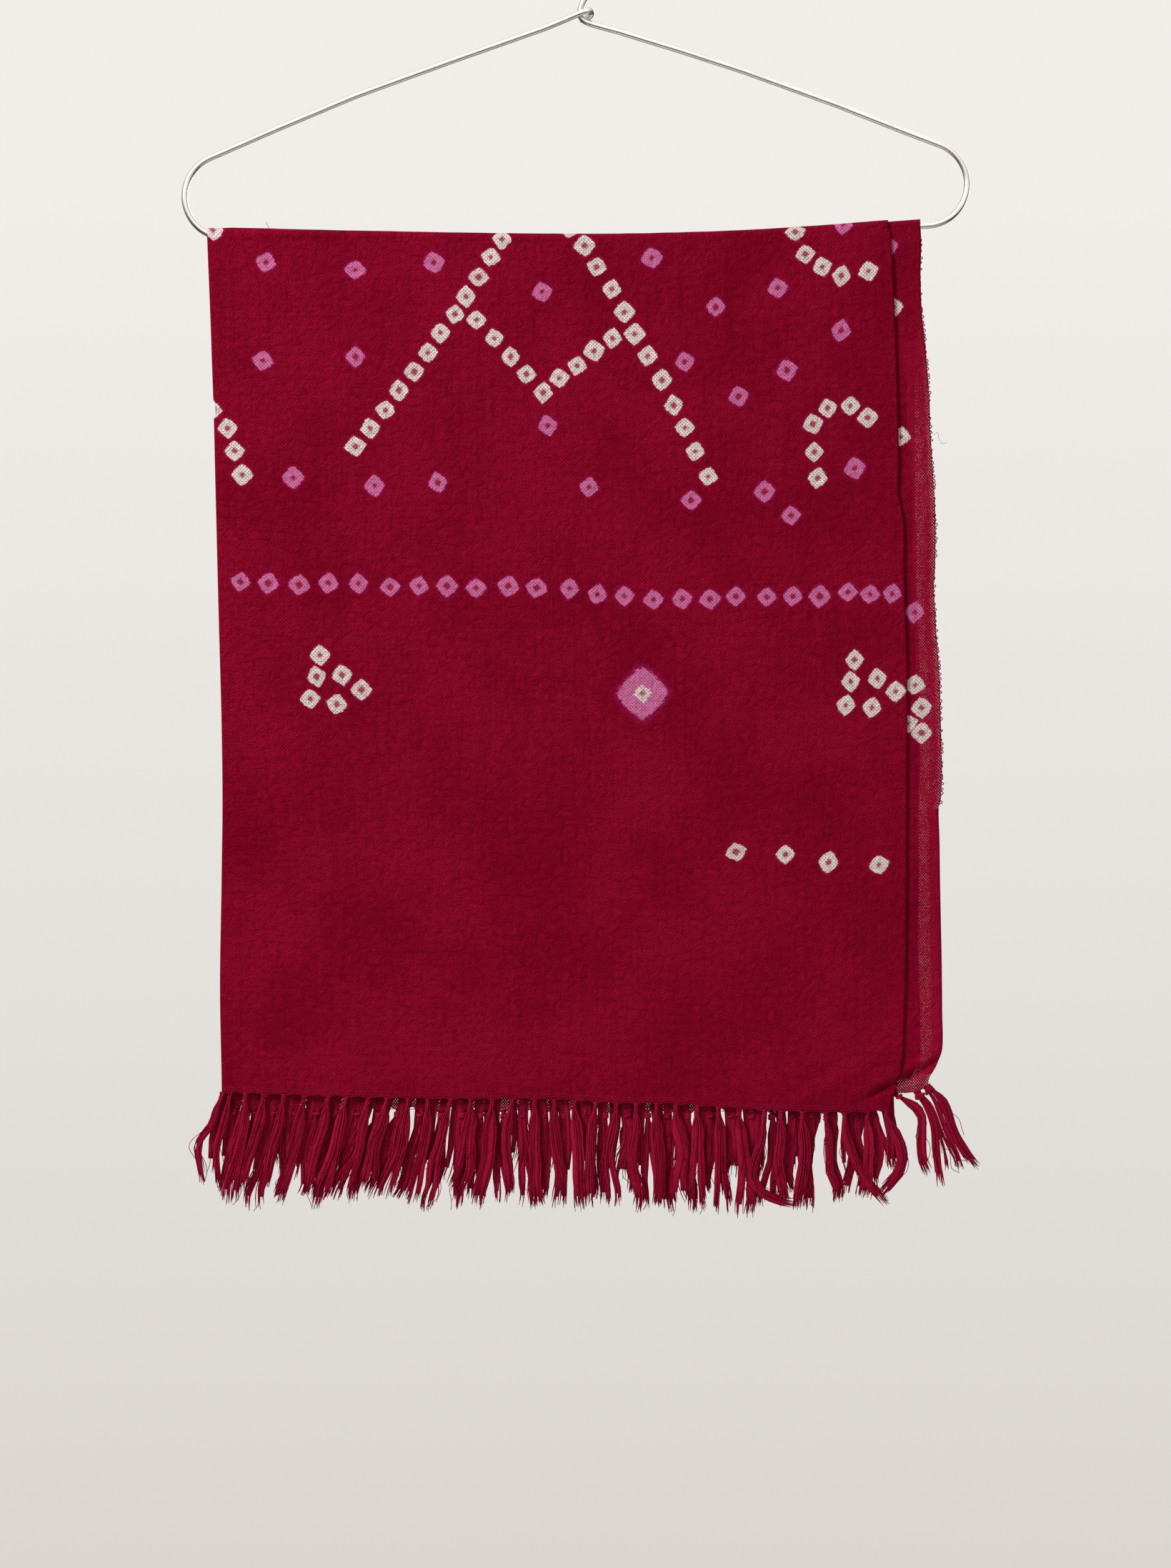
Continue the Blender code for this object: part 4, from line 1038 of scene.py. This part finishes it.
def folded_pair(side, reach):
    """One folded pair of sheets: side is -1 in front of the middle and 1 behind it."""
    radius = (PAIR_OUTSIDE - PAIR_INSIDE) / 2
    rows = np.linspace(0.0, 1.0, PAIR_ROWS)[:, None]
    there = np.linspace(0.0, 1.0, PAIR_COLUMNS)
    turn = np.linspace(0.0, math.pi, PAIR_TURNS)[1:-1]
    shares = np.concatenate([there, 0 * turn + 1, there[::-1]])[None, :]
    nudges = np.concatenate([0 * there, -radius * np.sin(turn), 0 * there])[None, :]
    heights = np.concatenate([0 * there + PAIR_OUTSIDE, PAIR_INSIDE + radius * (1 + np.cos(turn)),
                              0 * there + PAIR_INSIDE])[None, :]
    x = blend(OUTER_EDGE[0][1], LEFT_EDGE[0][1], shares) + 0 * rows
    for _ in range(3):
        z = blend(bar_z(x) - CORE_TOP, through(INNER_HEM, x), rows)
        drop = bar_z(x) - z
        left = through(LEFT_EDGE, drop) + ROLL_R + GAP + radius
        right = through(OUTER_EDGE, drop) + reach
        x = blend(right, left, shares) + nudges
    return np.stack([x, side * heights + 0 * x, z], -1), np.stack([x, -drop], -1)


for name, side, reach in (("inner_cloth_front", -1, CORE_STEP), ("inner_cloth_back", 1, CORE_INSET)):
    points, flat = folded_pair(side, reach)
    # the rows of the pair in front run the other way, so that its faces look outwards too
    made, _ = cloth_object(name, points[::side], flat[::side], plain_finish, THIN_WOOL)
    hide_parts("inner_layers")
    print(name, len(made.data.polygons), "faces")

# %% [markdown]
# ## Threads
# Fringe yarns, knots, loose weft lines and the little loops at the selvedge are all thin round threads.
# A curve object for each would be slow to handle, so one small collector turns each path into a tube and
# gathers hundreds of them in one mesh. Every thread keeps its own number, so its colour can differ.


# %% A collector of threads
class Threads:
    """Gathers many round threads for one mesh."""

    def __init__(self):
        self.points, self.faces, self.marks = [], [], []
        self.count = 0

    def add(self, path, radius, sides=5, up=(0.0, 1.0, 0.0), mark=0.0, flat=1.0):
        """A tube along a path in mm: radius is one number or one for each point, flat its depth's share."""
        path = np.asarray(path, float)
        along = np.gradient(path, axis=0)
        along /= np.linalg.norm(along, axis=1)[:, None]
        side = np.cross(along, up)
        side /= np.linalg.norm(side, axis=1)[:, None]
        other = np.cross(side, along) * flat
        angle = np.arange(sides) * 2 * math.pi / sides
        radius = np.broadcast_to(radius, len(path))[:, None, None]
        ring = np.cos(angle)[None, :, None] * side[:, None, :]
        ring = ring + np.sin(angle)[None, :, None] * other[:, None, :]
        self.points.append((path[:, None, :] + radius * ring).reshape(-1, 3))
        rings, start = len(path), self.count
        for k in range(rings - 1):
            for j in range(sides):
                near, after = start + k * sides + j, start + k * sides + (j + 1) % sides
                self.faces.append((near, near + sides, after + sides, after))
        self.faces.append(tuple(start + j for j in range(sides)))
        self.faces.append(tuple(start + (rings - 1) * sides + j for j in reversed(range(sides))))
        length = np.concatenate([[0.0], np.cumsum(np.linalg.norm(np.diff(path, axis=0), axis=1))])
        marks = np.stack(np.broadcast_arrays(angle[None, :] / (2 * math.pi), length[:, None], mark), -1)
        self.marks.append(marks.reshape(-1, 3))
        self.count += rings * sides

    def finish(self, name, finish, slot):
        """Make one object of all the threads."""
        data = bpy.data.meshes.new(name)
        data.from_pydata((np.concatenate(self.points) * MM).tolist(), [], self.faces)
        data.shade_smooth()
        kept = data.attributes.new("thread", "FLOAT_VECTOR", "POINT")
        kept.data.foreach_set("vector", np.concatenate(self.marks).ravel())
        data.materials.append(finish)
        made = place_object(name, data)
        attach(made, "root")
        print(name, len(data.polygons), "faces")
        return made


# %% [markdown]
# ### Soft wool yarn
# The fringe is the cloth's own warp, left unwoven and knotted. The yarn is softly spun two-ply wool, so
# a faint twist winds along it and fibre ends give it a bloom. Yarn by yarn the dye differs a little, and
# the loose wefts are painted lighter as a painted highlight.

# %% Wool yarn
PLY_TWIST = 2.2
# threads with a number from 2 up are loose wefts, painted lighter as a painted highlight where they catch the
# light
HIGHLIT_WEFT = 2.0


def soft_wool_yarn():
    made, tree, shader = new_material("soft spun wool yarn")
    thread = add(tree, "ShaderNodeAttribute", attribute_name="thread")
    around, along, number = add(tree, "ShaderNodeSeparateXYZ", {0: thread.outputs["Vector"]}).outputs
    # two-ply yarn twists about once in 2 mm; its strands are drawn at that real spacing
    turn = add(tree, "ShaderNodeMath", {0: along, 1: 1 / PLY_TWIST, 2: around}, operation="MULTIPLY_ADD")
    turn = add(tree, "ShaderNodeMath", {0: turn, 1: 4 * math.pi}, operation="MULTIPLY")
    ply = add(tree, "ShaderNodeMath", {0: turn}, operation="SINE")
    ply = add(tree, "ShaderNodeMapRange", {"Value": ply, "From Min": -1.0, "From Max": 1.0})
    place = add(tree, "ShaderNodeTexCoord").outputs["Object"]
    fibre = add(tree, "ShaderNodeTexNoise", {"Vector": place, "Scale": 900.0, "Detail": 4.0})
    lot = add(tree, "ShaderNodeTexWhiteNoise", {"W": number}, noise_dimensions="1D")
    # painted highlight: loose wefts are painted a lighter red
    loose = add(tree, "ShaderNodeMath", {0: number, 1: HIGHLIT_WEFT - 0.5}, operation="GREATER_THAN")
    dark = add(tree, "ShaderNodeMapRange", {"Value": fibre, "From Min": 0.35, "From Max": 0.7,
               "To Max": 0.4})
    dye = linear("#880D2A")
    for amount, over in ((lot, "#A4183E"), (loose, "#981A40"), (dark, "#66081F")):
        dye = add(tree, "ShaderNodeMix", {0: amount, 6: dye, 7: linear(over)}, data_type="RGBA").outputs[2]
    height = add(tree, "ShaderNodeMath", {0: fibre, 1: 0.6, 2: ply}, operation="MULTIPLY_ADD")
    bump = add(tree, "ShaderNodeBump", {"Height": height, "Strength": 0.6, "Distance": 0.2 * MM})
    set_inputs(tree, shader, {
        "Base Color": dye, "Normal": bump, "Roughness": 0.9, "Specular IOR Level": 0.2,
        "Specular Tint": linear(WOOL_GLINT), "Sheen Weight": 0.10, "Sheen Tint": linear(WOOL_BLOOM)})
    return made


yarn = soft_wool_yarn()
print("yarn:", yarn.name)

# %% [markdown]
# ## The fringe
# A fringe maker takes about twenty warp ends, knots them close under the last weft and lets them hang.
# The yarns of one lock cling to each other, cross, split into two strands and fray at the tips.
# Hair particles could do this, but each lock has its own way of hanging, so each yarn is a tube whose
# path comes from its lock: where it starts, how it leans and bows, and how its strands part.

# %% One lock's middle line
Lock = namedtuple("Lock", "x way width yarns")
YARN_R, LOOSE_YARN_R = 0.33, 0.21
RINGS, KNOT_RINGS, LOOSE_RINGS = 16, 17, 14
# rings lie closer together near the knot, where a lock changes its width most
SHARES = np.linspace(0.0, 1.0, RINGS) ** 1.45
KNOT_BELOW = 3.0


def lock_height(x, z, height):
    """Outward place of a point under the hem: it carries on from the cloth above."""
    drop = bar_z(x) - z
    return height + np.minimum(relief("front", x, drop), 2.2)


def middle_line(way):
    """Read a lock's way, its places right of and below its hem, as a smooth line with its length."""
    hand_placed = [(right, 0.0, -down) for right, down in ((0.0, 0.0), *way)]
    points = np.array([tuple(p) for p in curved(hand_placed, 3)])
    length = np.concatenate([[0.0], np.cumsum(np.linalg.norm(np.diff(points, axis=0), axis=1))])
    return points[:, (0, 2)], length


def at_share(line, share):
    """Places on a middle line and its sideways directions, at shares of its length."""
    points, length = line
    place = [np.interp(share * length[-1], length, points[:, k]) for k in (0, 1)]
    slope = [np.interp(share * length[-1], length, np.gradient(points[:, k], length)) for k in (0, 1)]
    size = np.hypot(*slope)
    return place[0], place[1], -slope[1] / size, slope[0] / size


# %% One lock's yarns
def lock_width(share, length, width):
    """Half width of a lock: wide at the hem, tied in at the knot, full a quarter of the way down."""
    knot = KNOT_BELOW / length
    tied = blend(1.4, 0.8, ease(share / (0.8 * knot)))
    return blend(tied, width / 2, ease((share - knot) / 0.18))


def add_lock(threads, lock, hem, height, depth, rng, knot=1.0):
    """Knot a lock under a hem. height is its outer face above the middle of the stack, depth how thick."""
    top = float(through(hem, lock.x)) + 0.3
    line = middle_line(lock.way)
    length = line[1][-1]
    parts_at, gap = rng.uniform(0.3, 0.6), rng.choice((0.0, 0.0, rng.uniform(0.8, 2.4)))
    twist, phase, beats = rng.uniform(-1.0, 1.0), rng.uniform(0, 6.28), rng.uniform(1.5, 3.2)
    sway = rng.uniform(0.3, 0.9)

    def path(across, inward, share, reach=1.0, stray=0.0):
        """Points of one yarn from its place in the lock's round section."""
        right, up, side_x, side_z = at_share(line, share * reach)
        turn = twist * share
        u = across * np.cos(turn) - inward * np.sin(turn)
        v = across * np.sin(turn) + inward * np.cos(turn)
        aside = u * lock_width(share * reach, length, lock.width)
        aside += math.copysign(gap, across) * ease((share - parts_at) / 0.5)
        aside += sway * ease(share / 0.3) * np.sin(phase + beats * math.pi * share)
        aside += stray * ease((share - 0.8) / 0.2)
        x, z = lock.x + right + aside * side_x, top + up + aside * side_z
        y = -(lock_height(np.full(len(x), lock.x), z, height - depth / 2) + 0.5 * depth * v)
        return np.stack([x, y, z], -1)

    # the matted middle of each strand, then single yarns over it
    core_share = SHARES[::2] * 0.95
    thick = lock_width(core_share, length, lock.width) * 0.54
    thick = thick * (1.0 - 0.65 * ease((core_share - 0.78) / 0.17))
    for half in (-0.42, 0.42):
        threads.add(path(half, 0.0, core_share), thick, sides=8, mark=rng.random(),
                    flat=0.9 * depth / lock.width)
    for _ in range(lock.yarns):
        angle, away = rng.uniform(0, 2 * math.pi), rng.uniform(0.45, 1.0)
        reach = 1.0 - 0.09 * (away * math.cos(angle)) ** 2 - 0.07 * rng.random()
        yarn_path = path(away * math.cos(angle), away * math.sin(angle), SHARES, reach, rng.gauss(0.0, 0.5))
        waver = rng.uniform(0, 6.28) + rng.uniform(5.0, 9.0) * math.pi * SHARES
        yarn_path[:, 0] += 0.12 * np.sin(waver) * ease(SHARES / 0.2)
        yarn_path[:, 1] += 0.10 * np.cos(waver) * ease(SHARES / 0.2)
        radius = YARN_R * rng.uniform(0.8, 1.2) * (1.0 - 0.6 * ease((SHARES - 0.9) / 0.1))
        threads.add(yarn_path, radius, mark=rng.random())
    right, up = at_share(line, KNOT_BELOW / length)[:2]
    add_knot(threads, lock.x + right, top + up, height, depth, knot * rng.uniform(1.1, 1.5), rng)
    for _ in range(rng.choice((1, 1, 2, 2))):
        add_loose_yarn(threads, lock, line, top, height, rng)


def add_knot(threads, x, z, height, depth, reach, rng):
    """The overhand knot: a fat turn and a half of matted yarn round the neck of the lock."""
    turn = np.linspace(0.0, 3.3 * math.pi, KNOT_RINGS) + rng.uniform(0, 6.28)
    rise = z + np.linspace(1.0, -1.0, KNOT_RINGS) + 0.4 * np.sin(turn + 1.0)
    back = lock_height(np.full(KNOT_RINGS, x), rise, height - depth / 2)
    path = np.stack([x + reach * np.cos(turn), -back + 0.7 * reach * np.sin(turn), rise], -1)
    threads.add(path, 0.6 * reach, sides=6, up=(0.0, 0.0, 1.0), mark=rng.random())


def add_loose_yarn(threads, lock, line, top, height, rng):
    """A single yarn that has slipped out of its lock, bows away from it and curls at its end."""
    start, run = rng.uniform(0.25, 0.65), rng.uniform(0.3, 0.42)
    share = np.linspace(0.0, 1.0, LOOSE_RINGS)
    right, up, side_x, side_z = at_share(line, start + run * share)
    bow, curl = rng.choice((-1, 1)) * rng.uniform(1.5, 5.0), rng.uniform(0.5, 1.6)
    phase = rng.uniform(0, 6.28)
    aside = bow * np.sin(0.8 * math.pi * share) + curl * share * np.sin(phase + 8.0 * share)
    x = lock.x + right + aside * side_x
    z = top + up + aside * side_z + curl * share * np.cos(phase + 8.0 * share)
    y = -(height + 0.5 * np.sin(phase + 4.0 * share))
    threads.add(np.stack([x, y, z], -1), LOOSE_YARN_R, sides=3, mark=rng.random())


# %% Plan the rows of locks
FRINGE_SEED = 23
# the locks of the left part hang slanting to the left, the others nearly straight
LEAN = ((-190, -8.0), (-160, -10.0), (-125, -13.0), (-78, -11.0), (-60, -4.0), (-40, 0.5), (0, 1.5),
        (60, 0.5), (100, -1.0), (143, 3.0))


def row_of_locks(first, last, count, lengths, yarns, rng, taken=(), widths=(4.8, 7.6)):
    """Regular locks by knot pitch, each with its own way of hanging, leaving room for the named ones."""
    locks = []
    for k in range(count):
        x = blend(first, last, k / (count - 1)) + rng.uniform(-0.8, 0.8)
        if any(abs(x - other.x) < KNOT_PITCH * 0.55 for other in taken):
            continue
        long, end = rng.uniform(*lengths), float(through(LEAN, x)) + rng.gauss(0.0, 2.4)
        bow, hook = rng.uniform(-2.4, 2.4), rng.uniform(-2.2, 2.2)
        way = ((0.04 * end, KNOT_BELOW), (0.22 * end + 0.6 * bow, 0.27 * long),
               (0.52 * end + bow, 0.55 * long), (0.82 * end + 0.3 * bow + hook, 0.80 * long), (end, long))
        locks.append(Lock(x, way, rng.uniform(*widths), yarns))
    return sorted(locks + list(taken), key=lambda lock: lock.x)


# locks that stray from the habit of the row: their places right of and below the hem
OUTER_STRAYS = (
    Lock(-188.6, ((-0.8, 3), (-3.5, 9), (-6.2, 17), (-12.5, 27), (-11.6, 37), (-10.0, 49)), 3.6, 13),
    Lock(-184.6, ((-0.5, 3), (-2.4, 12), (-5.6, 22), (-8.0, 31), (-7.0, 41), (-5.2, 51)), 3.8, 14),
    Lock(155.3, ((0.2, 3), (4.8, 11), (8.2, 22), (5.6, 32), (-0.5, 40), (-3.5, 45)), 6.0, 20),
    Lock(145.0, ((0.2, 3), (0.8, 12), (1.2, 24), (0.4, 36), (-2.0, 46)), 6.0, 20),
    Lock(133.6, ((0.2, 3), (1.6, 12), (5.0, 24), (11.5, 35), (17.5, 42), (23.0, 49)), 5.2, 19),
    Lock(123.8, ((0.2, 3), (1.4, 12), (2.2, 24), (2.4, 32), (5.4, 38), (5.0, 48)), 4.0, 14),
    Lock(92.4, ((-0.4, 3), (-1.4, 14), (-5.4, 26), (-6.0, 35), (-1.0, 43), (9.0, 48), (19.0, 49)), 4.6, 17),
)
UNDER_STRAYS = (
    Lock(159.4, ((2.0, 1.2), (8.6, 5.0), (13.4, 10.6), (13.9, 21.0), (16.0, 36.0), (18.0, 44.0)), 4.8, 17),
    Lock(170.8, ((1.6, 2.8), (5.4, 8.0), (9.6, 17.0), (11.0, 30.0), (12.2, 42.0), (13.0, 50.0)), 4.0, 14),
    Lock(171.8, ((1.8, 2.6), (6.4, 8.0), (9.8, 15.0), (13.4, 27.0), (16.4, 35.0), (18.0, 42.0)), 2.8, 9),
    Lock(175.4, ((2.0, 2.8), (6.0, 9.0), (9.6, 17.0), (13.0, 28.0), (17.0, 38.0), (19.6, 45.0)), 2.8, 10),
    Lock(176.6, ((2.4, 2.6), (8.0, 8.6), (11.6, 17.0), (15.6, 28.0), (22.0, 38.0), (26.6, 44.0)), 4.8, 17),
)

# %% Three rows of fringe
rng = random.Random(FRINGE_SEED)
front_locks = row_of_locks(-177.3, 143.0, 31, (49.0, 59.0), 22, rng, OUTER_STRAYS)
under_locks = row_of_locks(-182.6, 149.0, 32, (43.0, 54.0), 17, rng, UNDER_STRAYS)
inner_locks = row_of_locks(-184.0, 158.0, 33, (52.0, 62.0), 8, rng, widths=(4.4, 6.8))
deep_locks = row_of_locks(-179.0, 154.0, 32, (50.0, 60.0), 7, rng, widths=(4.4, 6.8))

outer_threads, under_threads, inner_threads = Threads(), Threads(), Threads()
for lock in front_locks:
    add_lock(outer_threads, lock, OUTER_HEM, OUTER.flat + 0.3, 2.0, rng, knot=0.7)
for lock in under_locks:
    back = float(foot_back(lock.x, 450.0))
    add_lock(under_threads, lock, UNDER_HEM, UNDER.flat - back, 1.3, rng)
for lock in inner_locks:
    add_lock(inner_threads, lock, INNER_HEM, 1.25, 0.8, rng)
for lock in deep_locks:
    add_lock(inner_threads, lock, INNER_HEM, 0.45, 0.6, rng)

# %% [markdown]
# ## Loose ends
# Above the knots the last few weft lines have slid apart and run in shallow waves from knot to knot.
# Along the open selvedge each weft turns back in a tiny loop. Both are single threads laid on the cloth.


# %% Loose weft lines and selvedge loops
def add_weft_lines(threads, hem, ends, height, lines, rng):
    """Single wefts that run in shallow waves over a hem, each higher one straighter."""
    for line in range(lines):
        x = np.arange(ends[0], ends[1], 2.2)
        rise = 0.35 + 1.3 * line
        wave = 0.34 * np.cos(2 * math.pi * (x - FIRST_KNOT) / KNOT_PITCH) / (1 + line)
        stray = [0.3 * noise.noise(Vector((v / 6.0, 3.1 * line, 5.0))) for v in x]
        z = through(hem, x) + rise - wave + np.array(stray)
        y = -(height + 0.02 + relief("front", x, bar_z(x) - z))
        y = y + (foot_back(x, bar_z(x) - z) if height < OUTER.flat else 0.0)
        threads.add(np.stack([x, y, z], -1), rng.uniform(0.11, 0.16), sides=4, up=(0, 0, 1),
                    mark=HIGHLIT_WEFT + rng.random())


add_weft_lines(outer_threads, OUTER_HEM, (-187.6, 156.0), OUTER.flat, 3, rng)
add_weft_lines(under_threads, UNDER_HEM, (-184.0, 176.0), UNDER.flat, 3, rng)

LOOP_TOP, LOOP_END, LOOP_STEP = 6.0, 301.0, 2.3
for drop in np.arange(LOOP_TOP, LOOP_END, LOOP_STEP):
    drop += rng.uniform(-0.6, 0.6)
    edge = float(through(UNDER_EDGE, drop))
    reach, wide = rng.uniform(0.2, 1.5), rng.uniform(0.5, 1.0)
    turn = np.linspace(-math.pi / 2, math.pi / 2, 7)
    x = edge - 0.5 + reach * np.cos(turn)
    z = float(bar_z(edge)) - drop + wide * np.sin(turn)
    y = -(UNDER.flat - 0.1 + relief("front", x, np.full(7, drop)))
    under_threads.add(np.stack([x, y, z], -1), 0.26, sides=4, mark=rng.random())

STRAY_FIBRE = ((178.3, 106.0), (180.2, 108.2), (182.0, 107.0), (182.6, 110.6), (184.6, 113.0), (187.0, 112.2))
stray = [(x, -2.6, float(bar_z(170.0)) - drop) for x, drop in STRAY_FIBRE]
under_threads.add([tuple(v) for v in curved(stray, 2)], 0.10, sides=3, mark=0.4)
TOP_FIBRE = ((-164.6, 4.6), (-165.2, 6.4), (-166.4, 8.4))
stray = [(x, -0.5, float(bar_z(x)) + rise) for x, rise in TOP_FIBRE]
outer_threads.add([tuple(v) for v in curved(stray, 2)], 0.16, sides=3, mark=0.4)

fringe_outer = outer_threads.finish("knotted_fringe_outer", yarn, "fringe_yarn")
fringe_under = under_threads.finish("knotted_fringe_under", yarn, "fringe_yarn")
fringe_inner = inner_threads.finish("knotted_fringe_inner", yarn, "fringe_yarn")
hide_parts("fringe_outer")
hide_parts("fringe_under")
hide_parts("fringe_inner")
